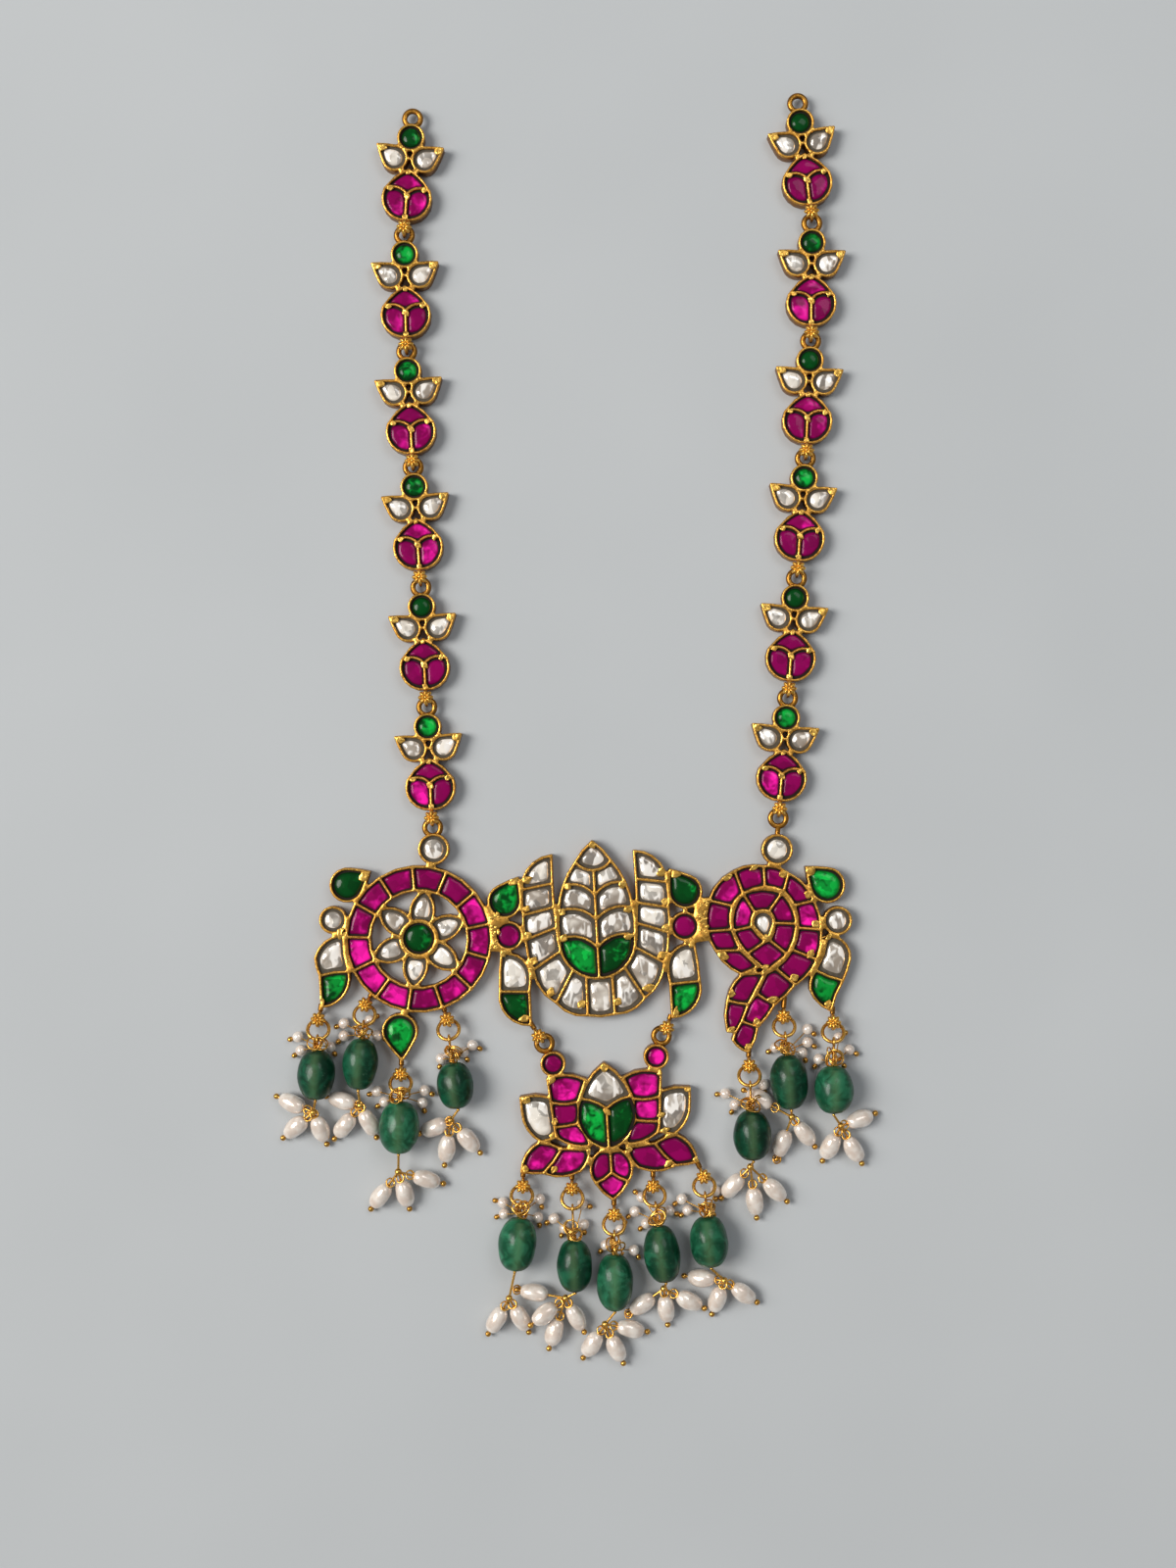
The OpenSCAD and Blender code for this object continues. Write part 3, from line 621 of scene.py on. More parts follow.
def stone_blank(profile):
    """A stone 1 m across with the given profile, from a sphere."""
    blank = sphere(SIDES, len(profile) - 1)
    spots = places(blank.data)
    turn = np.arctan2(spots[:, 1], spots[:, 0])
    side = np.round(turn / (2 * math.pi / SIDES)).astype(int) % SIDES
    climb = np.arcsin(np.clip(spots[:, 2], -1, 1)) / math.pi + 0.5
    ring = np.round(climb * (len(profile) - 1)).astype(int)
    profile = np.array(profile)
    return blank, side, profile[ring, 0], profile[ring, 1] * MM


def girdle_of(spots, soften):
    """The outline of a stone as evenly spaced points round its middle, with its corners rounded."""
    ring = spots[abs(spots[:, 2] - CROWN) < HAIR][:, :2]
    middle = (ring.max(axis=0) + ring.min(axis=0)) / 2
    ring = ring[np.argsort(np.arctan2(ring[:, 1] - middle[1], ring[:, 0] - middle[0]))]
    steps = np.linalg.norm(np.roll(ring, -1, axis=0) - ring, axis=1)
    far = np.concatenate(([0], np.cumsum(steps)))
    closed = np.vstack((ring, ring[:1]))
    even = np.linspace(0, far[-1], SIDES * FINE, endpoint=False)
    line = np.column_stack([np.interp(even, far, closed[:, k]) for k in (0, 1)])
    reach = max(1, round(soften / (far[-1] / len(line))))
    for _ in range(2):
        line = np.mean([np.roll(line, k, axis=0) for k in range(-reach, reach + 1)], axis=0)
    return middle, line[::FINE]


def tone_of(middle, rng):
    tone = rng.uniform(*PLAIN_TONES)
    for x, y, value in TONES:
        if math.dist((x * MM, y * MM), middle) < TONE_REACH:
            tone = value
    return tone


def uneven(flat, height, middle, waves, rng):
    """Heights of a stone whose upper faces lean and swell a little."""
    rise = np.clip((height / MM - UNEVEN_FROM) / UNEVEN_OVER, 0, 1)
    lean = [rng.uniform(-LEAN, LEAN) for _ in range(2)]
    drift = Vector((rng.uniform(0, 9), rng.uniform(0, 9), 0))
    wave = np.array([noise.noise(Vector((x, y, 0)) / WAVE + drift) for x, y in flat])
    top = height + rise * (waves * MM * wave + (flat - middle) @ lean)
    return np.minimum(top, STONE_LIMIT)


def paint_cut(stone, across, share, tone):
    """The attribute that foil_glow reads: place across and up, share of the way to the girdle, and tone, the
    amount of painted light on the stone.
    """
    values = np.ones((len(across), 4), np.float32)
    values[:, :2] = 0.5 + 0.5 * across
    values[:, 2] = share
    values[:, 3] = tone
    cut = stone.data.color_attributes.new("cut", "FLOAT_COLOR", "POINT")
    cut.data.foreach_set("color", values.ravel())


def set_stones(name, finish, slot, profile, soften, fit, waves, seed):
    """The stones of one node, each fitted to its own girdle; returns the middle of each, and 1 if clear."""
    rng = random.Random(seed)
    source = copy_of(name, "stone_source")
    blank, side, share, height = stone_blank(profile)
    shade(blank, 60)
    parts, found = [], []
    for part in islands(source.data):
        middle, girdle = girdle_of(places(source.data)[part], soften)
        found.append((middle.tolist(), float(slot == "polki")))
        stone = placed(blank, Matrix.Identity(4))
        flat = middle + share[:, None] * (girdle[side] - middle) * fit
        put_back(stone.data, np.column_stack((flat, uneven(flat, height, middle, waves, rng))))
        reach = np.linalg.norm(girdle - middle, axis=1).max()
        paint_cut(stone, (flat - middle) / reach, share, tone_of(middle, rng))
        parts.append(stone)
    bpy.data.objects.remove(source)
    bpy.data.objects.remove(blank)
    piece = joined(parts, name + "_cut")
    dress(piece, finish)
    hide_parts(name)
    return found


# Flowers on the hooks

# A flower's solid star is nearer to the hub than FLOWER_REACH, with its tips STAR_TIP away. Above STAR_FOOT
# it shrinks, and it is cut off at STAR_LIMIT, so that the petals cover it.
FLOWER_REACH = 1.5 * MM
STAR_TIP = 1.3 * MM
STAR_SLACK = 0.06 * MM
STAR_FOOT = 2.8 * MM
STAR_SHRINK = 0.55
STAR_LIMIT = 3.4 * MM
FLOWER_HEIGHT = 3.38 * MM
PETALS = 8


def flower_spots(piece):
    """Middle and turn of each flower on a setting, from its hub and the tips of its star."""
    spots = places(piece.data)
    hubs = spots[spots[:, 2] > HUB_TOP - HAIR]
    tips = spots[abs(spots[:, 2] - STAR_TOP) < HAIR]
    found = []
    while len(hubs):
        near = np.linalg.norm(hubs[:, :2] - hubs[0, :2], axis=1) < FLOWER_REACH
        middle = (hubs[near, :2].max(axis=0) + hubs[near, :2].min(axis=0)) / 2
        reach = tips[:, :2] - middle
        far = reach[abs(np.linalg.norm(reach, axis=1) - STAR_TIP) < STAR_SLACK]
        found.append((middle, math.atan2(far[0, 1], far[0, 0]) if len(far) else 0.0))
        hubs = hubs[~near]
    return found


def hide_star(spots, middle):
    away = np.hypot(spots[:, 0] - middle[0], spots[:, 1] - middle[1])
    star = (spots[:, 2] > STAR_FOOT) & (away < FLOWER_REACH)
    spots[star, :2] = middle + (spots[star, :2] - middle) * STAR_SHRINK
    spots[star, 2] = np.minimum(spots[star, 2], STAR_LIMIT)


def petal(turn):
    """A petal with a ridge along its middle, lying outwards from the hub and tipped a little."""
    piece = sphere(12, 8)
    spots = places(piece.data)
    spots[:, 1] *= 0.8 + 0.2 * spots[:, 0]
    spots[:, 2] *= 1.15 - 0.5 * abs(spots[:, 1])
    put_back(piece.data, spots)
    outwards = Matrix.Translation((0.68 * MM, 0, -0.04 * MM))
    tipped = turned(math.radians(9), "Y")
    piece.data.transform(turned(turn) @ outwards @ tipped @ scaled(0.64 * MM, 0.44 * MM, 0.44 * MM))
    return piece


def flower_template():
    petals = [petal(math.radians(360 / PETALS * k)) for k in range(PETALS)]
    hub = sphere(14, 8)
    hub.data.transform(Matrix.Translation((0, 0, 0.06 * MM)) @ scaled(0.32 * MM, 0.32 * MM, 0.38 * MM))
    flower = joined(petals + [hub], "flower")
    shade(flower, 60)
    return flower


def hook_flowers(flowers):
    matrices = [Matrix.Translation((*middle, FLOWER_HEIGHT)) @ turned(turn) for middle, turn in flowers]
    trim(flower_template(), matrices, "hook_flowers", GOLD_FOIL)


# Pads of foil that are pressed over the corners of the cells

PAD_HEIGHT = 2.5 * MM
PAD_THICKNESS = 0.3 * MM

# How foil is crumpled: the size of its creases, and how far they move it each way
CREASE = 0.55 * MM
CRUMPLE = (0.16 * MM, 0.16 * MM, 0.1 * MM)

# Foil past the gold is found by looking down from SKY over a depth of DOWN at the settings within NEARBY of
# its pad, and it moves in by PULL of the way, up to PULLS times
SKY = 9 * MM
DOWN = 8.5 * MM
NEARBY = 3 * MM
PULL = 0.3
PULLS = 6

# Pads of one link from the middle of its emerald, with the flower below: x, y, width, height and turn
LINK_PADS = [
    (4.75, -1.95, 1.3, 1.0, 55), (-4.75, -1.95, 1.3, 1.0, -55), (2.9, -8.75, 0.9, 0.7, 35),
    (-2.9, -8.75, 0.9, 0.7, -35), (0, -9.9, 0.8, 1.1, 0), (0, -5.9, 0.8, 0.6, 0),
    (0, -13.5, 0.7, 0.9, 0)]

# The other pads, at their places on the necklace
MARK_PADS = [
    (-0.5, 15.1, 1.5, 1.5, 45), (-4.7, 7.7, 1.0, 1.0, 20), (-5.6, 3.4, 1.0, 1.1, 15),
    (-5.3, -1.05, 1.1, 1.1, 20), (4.6, 8.0, 1.1, 1.0, -30), (5.6, 3.9, 1.3, 1.0, -25),
    (5.7, -0.7, 1.4, 1.0, -35), (-11.5, 8.8, 1.5, 1.0, -20), (-11.6, 3.9, 1.0, 0.9, 15),
    (-11.3, -0.6, 1.1, 1.1, 10), (-10.4, -4.9, 1.2, 1.1, 20), (-7.5, -10.2, 1.3, 1.0, 30),
    (-2.3, -12.2, 1.2, 1.1, 0), (11.2, 10.1, 1.4, 1.1, 0), (11.8, 5.1, 1.1, 1.0, 20),
    (11.9, 0.7, 1.2, 1.0, 15), (11.3, -3.9, 1.4, 1.0, -15), (9.1, -9.4, 1.8, 1.0, -30),
    (3.8, -11.8, 1.1, 1.1, 10), (-13.7, 8.9, 1.9, 1.5, 8), (13.8, 10.2, 1.9, 1.4, 8),
    (-15.6, -3.7, 1.2, 0.9, 0), (16.3, -2.0, 1.2, 0.9, 20), (-11.9, -14.6, 1.7, 0.9, -35),
    (13.7, -13.8, 1.9, 0.8, 45)]
WHEEL_PADS = [
    (-38.9, 9.4, 1.7, 1.5, -20), (-42.9, -0.2, 1.6, 1.3, 25), (-46.2, -11.8, 2.0, 0.7, 55)]
CONCH_PADS = [
    (22.1, 9.4, 1.6, 1.2, -30), (27, 11, 1.7, 0.7, -10), (31.8, 9.8, 1.2, 1.0, -20),
    (36.1, 6.4, 1.2, 1.2, 20), (37.3, 1.3, 1.2, 1.2, 0), (36.4, -3.7, 1.4, 0.9, 10),
    (33.6, -7.7, 1.3, 1.0, -20), (30, -11.4, 1.6, 0.9, -35), (27.3, -15.2, 0.9, 1.3, -30),
    (25.9, -19.4, 1.1, 0.9, 0), (23, -16.6, 1.3, 0.9, 0), (22.9, -10.3, 1.1, 1.4, 25),
    (21.6, -4, 1.2, 1.6, 20), (28.9, -0.9, 0.9, 0.9, 45), (28.6, -6.1, 1.4, 0.9, -10),
    (36.4, 10.4, 1.8, 1.2, 15), (39.3, -0.7, 1.3, 1.0, -30), (39.4, -12.2, 1.2, 1.0, 20)]
LOTUS_PADS = [
    (1.6, -22.7, 1.5, 1.3, 45), (2, -30.4, 0.8, 1.3, 0), (-7.3, -25, 1.3, 0.9, 15),
    (11.2, -23.7, 1.2, 1.0, -20), (-11.7, -28.3, 1.3, 1.2, 20), (15.9, -26.4, 1.4, 1.0, -15),
    (-6.8, -32.1, 1.1, 0.8, 35), (11.1, -30.9, 1.1, 0.8, -30), (-7.2, -34.6, 1.2, 0.8, 30),
    (11.8, -33.5, 1.2, 0.8, -30), (-11.8, -40.1, 1.2, 0.9, 50), (17.2, -38.4, 1.2, 0.9, -40),
    (-0.9, -37.2, 1.2, 0.9, 30), (5.6, -36.8, 1.2, 0.9, -30), (-6.9, -40.1, 1.2, 0.8, 10),
    (12.4, -39.1, 1.3, 0.8, 0), (-5.7, -36.4, 1.1, 0.8, 20)]


def pad_template():
    """A four-cornered tab with soft edges; its size is set where it is placed."""
    bpy.ops.mesh.primitive_cylinder_add(vertices=4, radius=0.8, depth=1, end_fill_type="NGON")
    pad = bpy.context.object
    edit(pad, "FACE")
    bpy.ops.mesh.select_all(action="SELECT")
    bpy.ops.mesh.poke()
    leave()
    step = pad.modifiers.new("soft", "SUBSURF")
    step.levels = step.render_levels = 2
    apply_modifiers(pad)
    shade(pad, 60)
    return pad


def pad_matrix(x, y, wide, high, turn):
    """Where a pad lies; the template stands on a corner, so it is turned 45 degrees first."""
    spot = Matrix.Translation((x * MM, y * MM, PAD_HEIGHT))
    upright = turned(math.radians(45))
    return spot @ turned(math.radians(turn)) @ upright @ scaled(wide * MM, high * MM, PAD_THICKNESS)


def link_matrix(side, name, flower):
    """Where a link lies: the middle of its emerald, turned so that its flower is straight below."""
    emeralds = places(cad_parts[side + "_chain_emeralds"].data)
    low, high = (Vector(corner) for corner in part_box(name))
    inside = emeralds[(emeralds[:, 1] > low.y) & (emeralds[:, 1] < high.y)]
    top = Vector((inside[:, 0].mean(), inside[:, 1].mean(), 0))
    turn = math.atan2(top.y - flower[1], top.x - flower[0]) - math.pi / 2
    return Matrix.Translation(top) @ turned(turn)


def crumple(piece):
    """Foil pressed down by hand: its edges and its top wander a little."""
    spots = places(piece.data)
    for i, spot in enumerate(spots):
        spots[i] += np.array(noise.noise_vector(Vector(spot) / CREASE)) * CRUMPLE
    put_back(piece.data, spots)


def draw_in(piece):
    """Foil never hangs past the gold: a point with no setting under it moves in towards its pad's middle."""
    golds = [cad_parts[name].data for name in SETTINGS]
    below = [BVHTree.FromPolygons(places(gold), [face.vertices for face in gold.polygons]) for gold in golds]
    spots = places(piece.data)
    for part in islands(piece.data):
        middle = spots[part].mean(axis=0)
        near = [tree for tree in below if tree.find_nearest(middle, NEARBY)[0]]
        for i in part:
            for _ in range(PULLS):
                above = (spots[i, 0], spots[i, 1], SKY)
                if any(tree.ray_cast(above, (0, 0, -1), DOWN)[0] for tree in near):
                    break
                spots[i, :2] += (middle[:2] - spots[i, :2]) * PULL
    put_back(piece.data, spots)


def foil_pads(flowers):
    """All the foil, as one piece; flowers lists the flowers of each setting."""
    pads = [pad_matrix(*row) for row in MARK_PADS + WHEEL_PADS + CONCH_PADS + LOTUS_PADS]
    for side, links in CHAINS.items():
        for name in links:
            middle, _ = flowers[name][0]
            here = link_matrix(side, name, middle)
            pads += [here @ pad_matrix(*row) for row in LINK_PADS]
    foil = many(pad_template(), pads, "foil_pads")
    crumple(foil)
    draw_in(foil)
    dress(foil, GOLD_FOIL)


# Strips of solder between the wheel, the mark and the conch: x, y, half width and half height, then the
# grains on each, and their height and sizes in millimetres
SOLDER = [(-17.0, 0.2, 0.7, 3.0), (18.3, 2.6, 0.7, 3.0)]
GRAINS = 29
GRAIN_HEIGHT = 2.5
GRAIN_SIZES = (0.25, 0.6)
GRAIN_THICKNESS = 0.16 * MM


def solder_grains():
    rng = random.Random(3)
    bpy.ops.mesh.primitive_ico_sphere_add(subdivisions=2, radius=1)
    grain = bpy.context.object
    lumpy(grain, size=0.9, amount=0.3, seed=6, hole=0)
    shade(grain, 60)
    matrices = []
    for x, y, wide, high in SOLDER:
        for _ in range(GRAINS):
            spot = Vector((x + rng.uniform(-wide, wide), y + rng.uniform(-high, high), GRAIN_HEIGHT)) * MM
            long, broad = [rng.uniform(*GRAIN_SIZES) * MM for _ in range(2)]
            turn = turned(rng.uniform(0, 3))
            matrices.append(Matrix.Translation(spot) @ turn @ scaled(long, broad, GRAIN_THICKNESS))
    trim(grain, matrices, "solder_grains", GOLD_FOIL)


# Drops

def long_axis(spots):
    """Middle, long axis, half length and radius of a bead or pearl."""
    middle = (spots.max(axis=0) + spots.min(axis=0)) / 2
    _, _, rows = np.linalg.svd(spots - spots.mean(axis=0), full_matrices=False)
    axis = rows[0]
    away = (spots - middle) @ axis
    middle = middle + axis * (away.max() + away.min()) / 2
    off = spots - middle - np.outer((spots - middle) @ axis, axis)
    return Vector(middle), Vector(axis), (away.max() - away.min()) / 2, np.linalg.norm(off, axis=1).max()


# Radius of the drill hole in each kind of bead
BEAD_HOLE = 0.4 * MM
PEARL_HOLE = 0.26 * MM
SEED_HOLE = 0.13 * MM


def drilled(name, radius, half, hole, power, sides, rings):
    """A barrel along Z with a drill hole, from a sphere whose poles are opened and joined by a tunnel."""
    piece = sphere(sides, rings)
    piece.name = name
    mesh = piece.data
    pick(piece, "VERT", abs(places(mesh)[:, 2]) > 0.9999)
    bpy.ops.mesh.delete(type="VERT")
    bpy.ops.mesh.select_non_manifold(extend=False)
    bpy.ops.mesh.bridge_edge_loops()
    leave()
    spots = places(mesh)
    tilt = np.arcsin(np.clip(spots[:, 2], -1, 1)) * (math.pi / 2) / (math.pi / 2 - math.pi / rings)
    turn = np.arctan2(spots[:, 1], spots[:, 0])
    wide = np.maximum(hole, radius / (radius + hole) * (radius * np.cos(tilt).clip(0, 1) ** power + hole))
    put_back(mesh, np.column_stack((wide * np.cos(turn), wide * np.sin(turn), half * np.sin(tilt))))
    edit(piece, "FACE")
    turn_outwards()
    leave()
    return piece


def lumpy(piece, size, amount, seed, hole):
    """Uneven growth or tumbling: points move out and in with smooth noise, except at the drill hole."""
    spots = places(piece.data)
    away = np.linalg.norm(spots[:, :2], axis=1)
    for i, spot in enumerate(spots):
        if away[i] > hole * 1.05:
            grow = 1 - amount + amount * noise.noise(Vector(spot) / size + Vector((seed, 0, 0)))
            spots[i] = (spot[0] * grow, spot[1] * grow, spot[2])
    put_back(piece.data, spots)


# How pale each bead is, from 0 to 1
BEAD_TONES = [0.2, 0.3, 1.0, 0.25, 0.9, 0.35, 0.8, 0.4, 0.6, 0.0, 0.25, 0.8]

# The strip where a drill hole shows through: shares of the bead's radius and of its half length
STRIP_WIDE = 0.22
STRIP_LONG = 0.9

# Wire at the end of a rice pearl: a loop beyond it that leans left and right by turns, and a smaller collar
LOOP_OUT = 0.62 * MM
LOOP_LEAN = 0.25
COLLAR_OUT = 0.06 * MM
COLLAR_SIZE = 0.5


def drill_strip(bead, radius, half):
    """How near each point is to the strip where the drill hole shows through from above or below."""
    spots = places(bead.data)
    return np.exp(-(spots[:, 0] / (STRIP_WIDE * radius)) ** 2) * (abs(spots[:, 2]) < STRIP_LONG * half)


def beads():
    """The polished emeralds; returns the middle, long axis, half length and radius of each."""
    shapes = []
    for k, name in enumerate(BEADS):
        shape = long_axis(places(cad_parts[name].data))
        middle, axis, half, radius = shape
        bead = drilled(name + "_polished", radius, half, BEAD_HOLE, power=0.86, sides=40, rings=24)
        lumpy(bead, size=3.2 * MM, amount=0.06, seed=7.3 * k, hole=BEAD_HOLE)
        mark_points(bead, "drill", drill_strip(bead, radius, half))
        mark_points(bead, "tone", np.full(len(bead.data.vertices), BEAD_TONES[k]))
        bead.data.transform(along(axis, middle))
        shade(bead, 50)
        dress(bead, BEAD)
        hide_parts(name)
        shapes.append(shape)
    return shapes


def rice_pearls(side, feet):
    """The pearls of one set of drops; returns where their wires go, on the end near the foot of a bead."""
    name = "rice_pearls_" + side
    source = copy_of(name, "pearl_source")
    spots = places(source.data)
    parts, loops = [], []
    for k, part in enumerate(islands(source.data)):
        middle, axis, half, radius = long_axis(spots[part])
        pearl = drilled("pearl", radius, half, PEARL_HOLE, power=0.85, sides=26, rings=16)
        lumpy(pearl, size=1.9 * MM, amount=0.1, seed=3.1 * k + len(side), hole=PEARL_HOLE)
        pearl.data.transform(along(axis, middle))
        parts.append(pearl)
        foot = min(feet, key=lambda one: (one - middle).length)
        up = axis if (foot - middle).dot(axis) > 0 else -axis
        loops.append(along((LOOP_LEAN * (-1) ** k, 0.2, 1), middle + up * (half + LOOP_OUT)))
        loops.append(along(up, middle + up * (half + COLLAR_OUT)) @ Matrix.Scale(COLLAR_SIZE, 4))
    bpy.data.objects.remove(source)
    piece = joined(parts, name + "_grown")
    shade(piece, 50)
    dress(piece, PEARL)
    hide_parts(name)
    return loops


# Seed pearls round the top of each bead: x, y and the direction of the gold ball, in degrees
SEEDS = [
    [(-50.4, -17.9, -163), (-49.9, -20.2, -143), (-44.9, -19.6, -59)],
    [(-42.6, -15.6, -155), (-42.6, -17.7, -133), (-38.2, -15.1, 30), (-36.9, -17.7, -24)],
    [(-37, -27.1, -158), (-35.7, -28.9, -147), (-28.9, -27, -26), (-29.3, -29.1, -75)],
    [(-26.1, -21.6, -102), (-24.7, -20.5, -32), (-22.3, -20.5, -64), (-20.8, -19.3, -25)],
    [(-15.6, -46, 166), (-15.4, -47.9, -157), (-9.4, -45.4, -75), (-9.7, -48.5, -78)],
    [(-7, -48.7, -148), (-5.2, -50.3, -111), (-2.2, -46.3, -16), (-1.9, -49.7, -86)],
    [(1.8, -53.2, -129), (4.3, -50.6, 56), (6.6, -54.1, -58)],
    [(7.9, -45.1, 141), (6.7, -47.5, -140), (8.7, -49.5, -136), (12.6, -47.4, -24)],
    [(14.7, -45.4, -144), (15.7, -47.3, -140), (20.4, -44, -87), (19.5, -46.8, -64)],
    [(22.1, -27.5, -173), (23.7, -29.4, -113), (28.5, -26, -79)],
    [(30.6, -19.7, -149), (36, -16.6, -35), (36, -18.8, -32), (35.1, -20.6, -65)],
    [(41.3, -18, 34), (43.1, -20.1, -29), (37.9, -21.7, -118), (41.4, -21.7, -53)]]
SEED_R = 0.98 * MM
BALL_R = 0.52 * MM

# Seed pearls and balls stay CLEAR of the floor, and a seed pearl climbs up a bead in steps
CLEAR = 0.05 * MM
CLIMB = 0.1 * MM

# Wire above the upper end of a bead: where its head pins meet, and where its wraps and its curls are
PINS_MEET = 0.75 * MM
PIN_LIFT = 0.2 * MM
WRAP_OUT = 0.38 * MM
CURLS_OUT = 0.5 * MM
CURLS = 4

PIN_R = 0.1 * MM
PIN_BOW = 0.16 * MM
WIRE_SIDES = 8
STEPS_A_TURN = 24


def resting_height(x, y, bead):
    """Lowest height at which a seed pearl rests against a bead or just above the floor."""
    middle, axis, half, radius = bead
    z = SEED_R + CLEAR
    while True:
        v = Vector((x, y, z)) - middle
        ahead = v.dot(axis)
        side = (v - axis * ahead).length
        if math.hypot(ahead / (half + SEED_R), side / (radius + SEED_R)) >= 1:
            return z
        z += CLIMB


def rod(a, b):
    """A matrix that stretches a piece 1 m long from one spot to another."""
    return along(b - a, (a + b) / 2) @ scaled(1, 1, (b - a).length)


def any_roll(rng):
    return rng.uniform(0, 6)


def any_curl(rng, crown, up):
    """A tangled loop of wire somewhere above a bead."""
    tilt = Vector((rng.uniform(-1, 1), rng.uniform(-1, 1), rng.uniform(0.2, 1.2))).normalized()
    shift = Vector((rng.uniform(-0.8, 0.8), rng.uniform(-0.5, 0.9), rng.uniform(-0.2, 0.7))) * MM
    return along(tilt, crown + up * CURLS_OUT + shift, any_roll(rng))


def drop_trim(shapes):
    """Where seed pearls, their balls and head pins, wraps and tangled loops of wire go round each bead."""
    rng = random.Random(5)
    pearls, balls, pins, wraps, curls = [], [], [], [], []
    for bead, seeds in zip(shapes, SEEDS):
        middle, axis, half, _ = bead
        up = axis if axis.y > 0 else -axis
        crown = middle + up * (half + PINS_MEET)
        for x, y, turn in seeds:
            spot = Vector((x * MM, y * MM, 0))
            spot.z = resting_height(spot.x, spot.y, bead)
            out = Vector((math.cos(math.radians(turn)), math.sin(math.radians(turn)), -0.1)).normalized()
            pearls.append(along(out, spot, any_roll(rng)))
            tip = spot + out * (SEED_R + BALL_R * 0.8)
            tip.z = max(tip.z, BALL_R + CLEAR)
            balls.append(along(tip - spot, tip, any_roll(rng)))
            pins.append(rod(crown + Vector((0, 0, PIN_LIFT)), spot))
        wraps.append(along(up, middle + up * (half + WRAP_OUT), any_roll(rng)))
        curls += [any_curl(rng, crown, up) for _ in range(CURLS)]
    return pearls, balls, pins, wraps, curls


def seed_pearl():
    """A small round pearl, a little flat at its drill hole and not quite even."""
    pearl = drilled("seed", SEED_R, 0.93 * SEED_R, SEED_HOLE, power=0.92, sides=22, rings=14)
    lumpy(pearl, size=1.1 * MM, amount=0.05, seed=4, hole=SEED_HOLE)
    shade(pearl, 50)
    return pearl


def melted_ball():
    """The end of a head pin, melted to a ball, with the neck of the wire below it."""
    ball = sphere(14, 9, BALL_R)
    _, middles = faces_of(ball)
    pick(ball, "FACE", middles[:, 2] < -0.93 * BALL_R)
    bpy.ops.mesh.inset(thickness=0.05 * MM)
    bpy.ops.mesh.extrude_region_move(TRANSFORM_OT_translate={"value": (0, 0, -0.2 * MM)})
    leave()
    lumpy(ball, size=0.7 * MM, amount=0.1, seed=2, hole=0.14 * MM)
    shade(ball, 60)
    return ball


def head_pin():
    """A thin wire with a slight bow, 1 m long until it is placed."""
    bpy.ops.mesh.primitive_cylinder_add(vertices=8, radius=PIN_R, depth=1, end_fill_type="NGON")
    pin = bpy.context.object
    edit(pin, "FACE")
    for height in (-0.3, -0.1, 0.1, 0.3):
        bpy.ops.mesh.select_all(action="SELECT")
        bpy.ops.mesh.bisect(plane_co=(0, 0, height), plane_no=(0, 0, 1))
    leave()
    spots = places(pin.data)
    spots[:, 0] += PIN_BOW * (1 - 4 * spots[:, 2] ** 2)
    put_back(pin.data, spots)
    shade(pin, 60)
    return pin


def coiled_wire(radius, wire, turns, pitch, wander):
    """Wire bent round by hand: a coil with closed ends, whose turns wander a little."""
    bpy.ops.mesh.primitive_circle_add(vertices=WIRE_SIDES, radius=wire, fill_type="NOTHING",
                                      location=(radius, 0, 0), rotation=(math.radians(90), 0, 0))
    coil = bpy.context.object
    use(coil)
    bpy.ops.object.transform_apply(location=True, rotation=True, scale=True)
    step = coil.modifiers.new("turns", "SCREW")
    step.angle = 2 * math.pi * turns
    step.screw_offset = pitch * turns
    step.steps = step.render_steps = round(STEPS_A_TURN * turns)
    step.use_merge_vertices = False
    apply_modifiers(coil)
    edit(coil, "EDGE")
    bpy.ops.mesh.select_all(action="DESELECT")
    bpy.ops.mesh.select_non_manifold(extend=False)
    bpy.ops.mesh.fill_holes(sides=WIRE_SIDES)
    turn_outwards()
    bpy.ops.transform.translate(value=(0, 0, -pitch * turns / 2))
    leave()
    spots = places(coil.data)
    for i, spot in enumerate(spots):
        drift = noise.noise_vector(Vector(spot) / (1.5 * radius) + Vector((turns, 0, 3)))
        spots[i] += np.array(drift) * wander
    put_back(coil.data, spots)
    shade(coil, 60)
    return coil


def gild(name):
    """A node that keeps its own shape and gets the gold of the wires."""
    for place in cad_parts[name].material_slots:
        place.link = "OBJECT"
        place.material = GOLD_WIRE


# Building

flowers = {name: gold_setting(name) for name in SETTINGS}
stones = []
for cut, names in CUTS:
    for k, name in enumerate(names):
        stones += set_stones(name, *cut, seed=11 + k)
for name in SETTINGS:
    lac_and_shade_bed(name, stones)
hook_flowers([spot for found in flowers.values() for spot in found])
foil_pads(flowers)
solder_grains()

bead_shapes = beads()
feet = [middle - axis * math.copysign(half, axis.y) for middle, axis, half, _ in bead_shapes]
loops = [loop for side in DROP_SETS for loop in rice_pearls(side, feet)]
pearls, balls, pins, wraps, curls = drop_trim(bead_shapes)
trim(seed_pearl(), pearls, "seed_pearls", PEARL)
trim(melted_ball(), balls, "seed_pearl_balls", GOLD_WIRE)
trim(head_pin(), pins, "seed_head_pins", GOLD_WIRE)
wrap = coiled_wire(radius=0.42 * MM, wire=0.13 * MM, turns=3.2, pitch=0.27 * MM, wander=0.06 * MM)
trim(wrap, wraps, "wire_wraps", GOLD_WIRE)
loop = coiled_wire(radius=0.68 * MM, wire=0.14 * MM, turns=1.15, pitch=0.3 * MM, wander=0.12 * MM)
trim(loop, loops, "pearl_loops", GOLD_WIRE)
curl = coiled_wire(radius=1.1 * MM, wire=0.15 * MM, turns=1.4, pitch=0.42 * MM, wander=0.3 * MM)
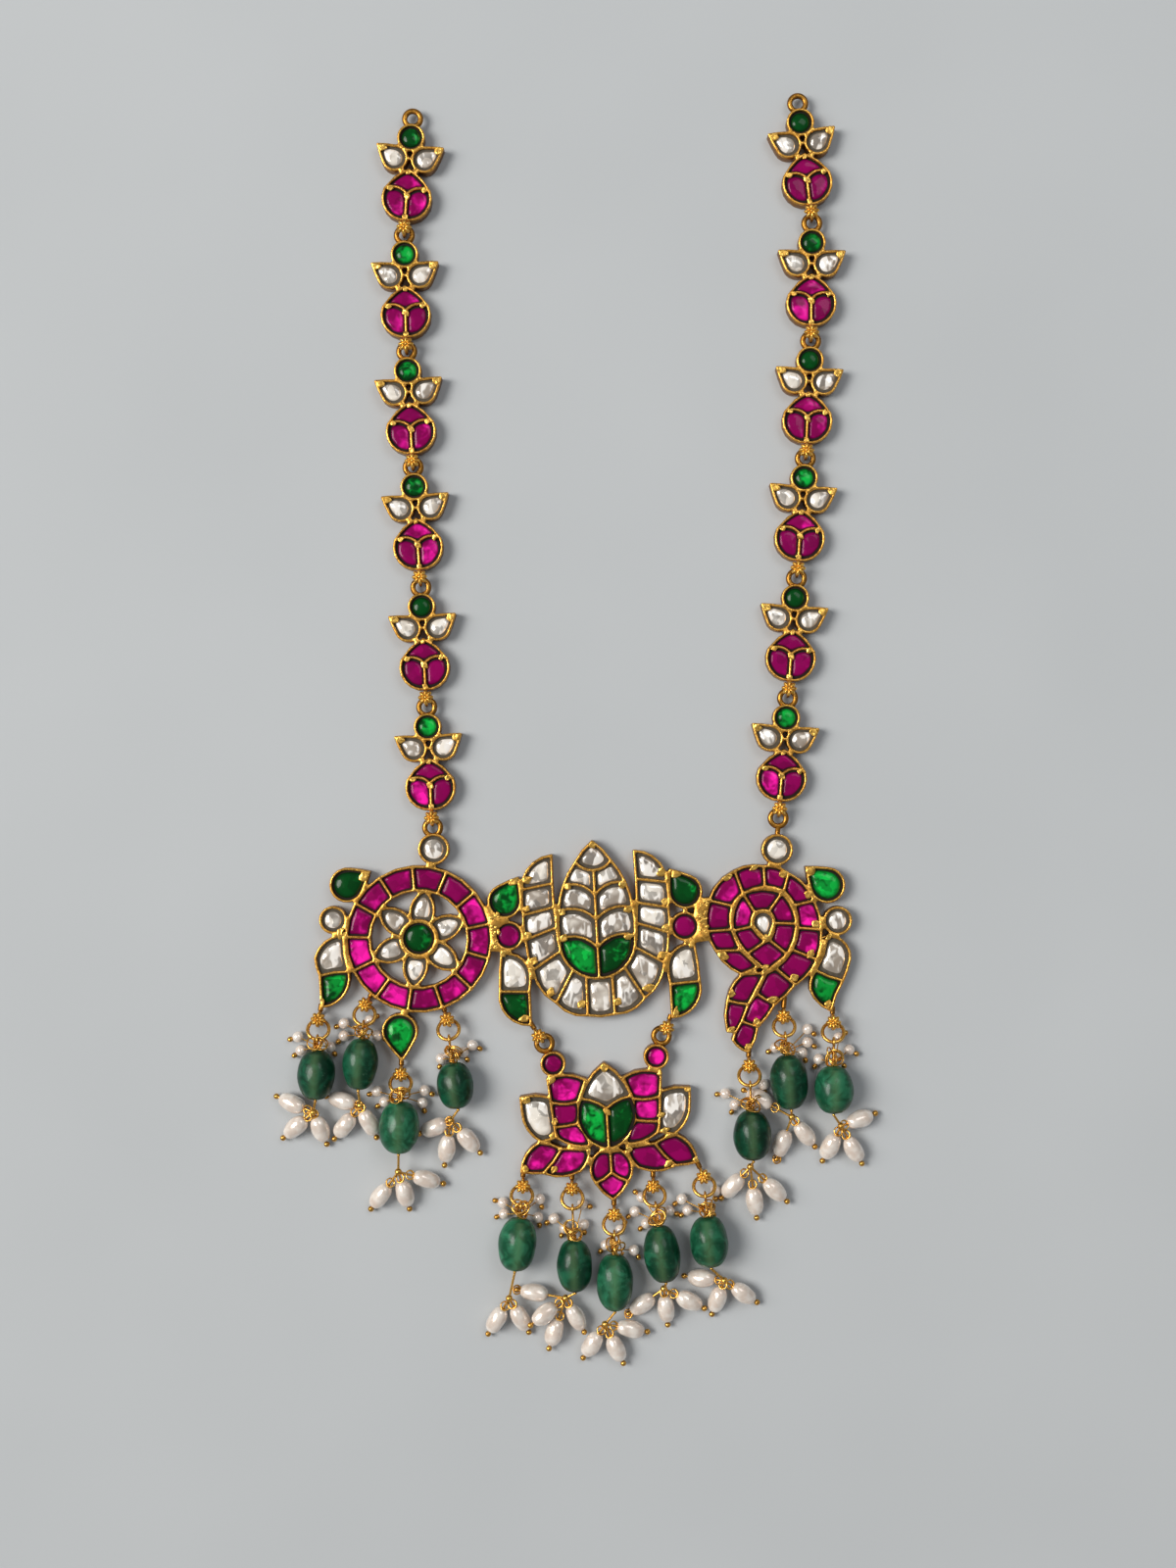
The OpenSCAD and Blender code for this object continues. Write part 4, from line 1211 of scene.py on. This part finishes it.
trim(curl, curls, "wire_curls", GOLD_WIRE)
for side in DROP_SETS:
    gild("jump_rings_" + side)
    gild("drop_wires_" + side)


# Floor, light and camera

FLOOR_GAP = 0.03 * MM

# The photograph in millimetres: the spot in its middle, its height on the floor, and how high the camera is
PHOTO_X, PHOTO_Y = -1.2, 25
PHOTO_HIGH = 266.7
CAMERA_UP = 370


def pale_floor():
    """A plain floor in the colours of the cloth."""
    bpy.ops.mesh.primitive_plane_add(size=12, location=(0, 0, -FLOOR_GAP))
    floor = bpy.context.object
    floor.name = "floor"
    cloth, tree = start("pale_floor")
    tint = mixed(tree, blurred(tree, 60 * MM, 2), (0.47, 0.49, 0.5), (0.53, 0.55, 0.56))
    floor.data.materials.append(finish_up(cloth, {"Base Color": tint}, {"Roughness": 0.9}))


def put_up(name, data):
    """Puts a lamp or camera into the scene, looking straight down."""
    holder = bpy.data.objects.new(name, data)
    bpy.context.collection.objects.link(holder)
    return holder


def facing(aim):
    return Vector(aim).to_track_quat("-Z", "Y").to_euler()


def sky(strength):
    world = bpy.data.worlds.new("studio")
    bpy.context.scene.world = world
    world.use_nodes = True
    light = world.node_tree.nodes["Background"].inputs
    light["Color"].default_value = (0.95, 0.97, 1, 1)
    light["Strength"].default_value = strength


def daylight(aim, strength, spread):
    """Daylight from the left, softened by the spread of its source in degrees."""
    lamp = bpy.data.lights.new("daylight", "SUN")
    lamp.energy = strength
    lamp.angle = math.radians(spread)
    lamp.color = (1, 0.975, 0.94)
    put_up("daylight", lamp).rotation_euler = facing(aim)


def softbox(name, spot, aim, size, watts, tint):
    lamp = bpy.data.lights.new(name, "AREA")
    lamp.shape = "RECTANGLE"
    lamp.size, lamp.size_y = size
    lamp.energy = watts
    lamp.color = tint
    holder = put_up(name, lamp)
    holder.location = spot
    holder.rotation_euler = facing(Vector(aim) - Vector(spot))


def camera():
    """A camera straight above the spot in the middle of the photograph."""
    lens = bpy.data.cameras.new("camera")
    lens.sensor_fit = "VERTICAL"
    lens.angle = 2 * math.atan(PHOTO_HIGH / 2 / CAMERA_UP)
    lens.clip_start = 0.01
    holder = put_up("camera", lens)
    holder.location = (PHOTO_X * MM, PHOTO_Y * MM, CAMERA_UP * MM)
    bpy.context.scene.camera = holder
    bpy.context.scene.view_settings.view_transform = "Standard"


pale_floor()
sky(0.24)
daylight(aim=(0.75, -0.1, -1), strength=1.95, spread=28)
softbox("window_left", (-0.5, 0.12, 0.45), (0, 0.03, 0), (0.22, 0.4), 1.3, (1, 0.98, 0.95))
softbox("fill_above", (0.25, 0.35, 0.7), (0, 0.03, 0), (0.4, 0.3), 1.0, (0.93, 0.96, 1))
camera()
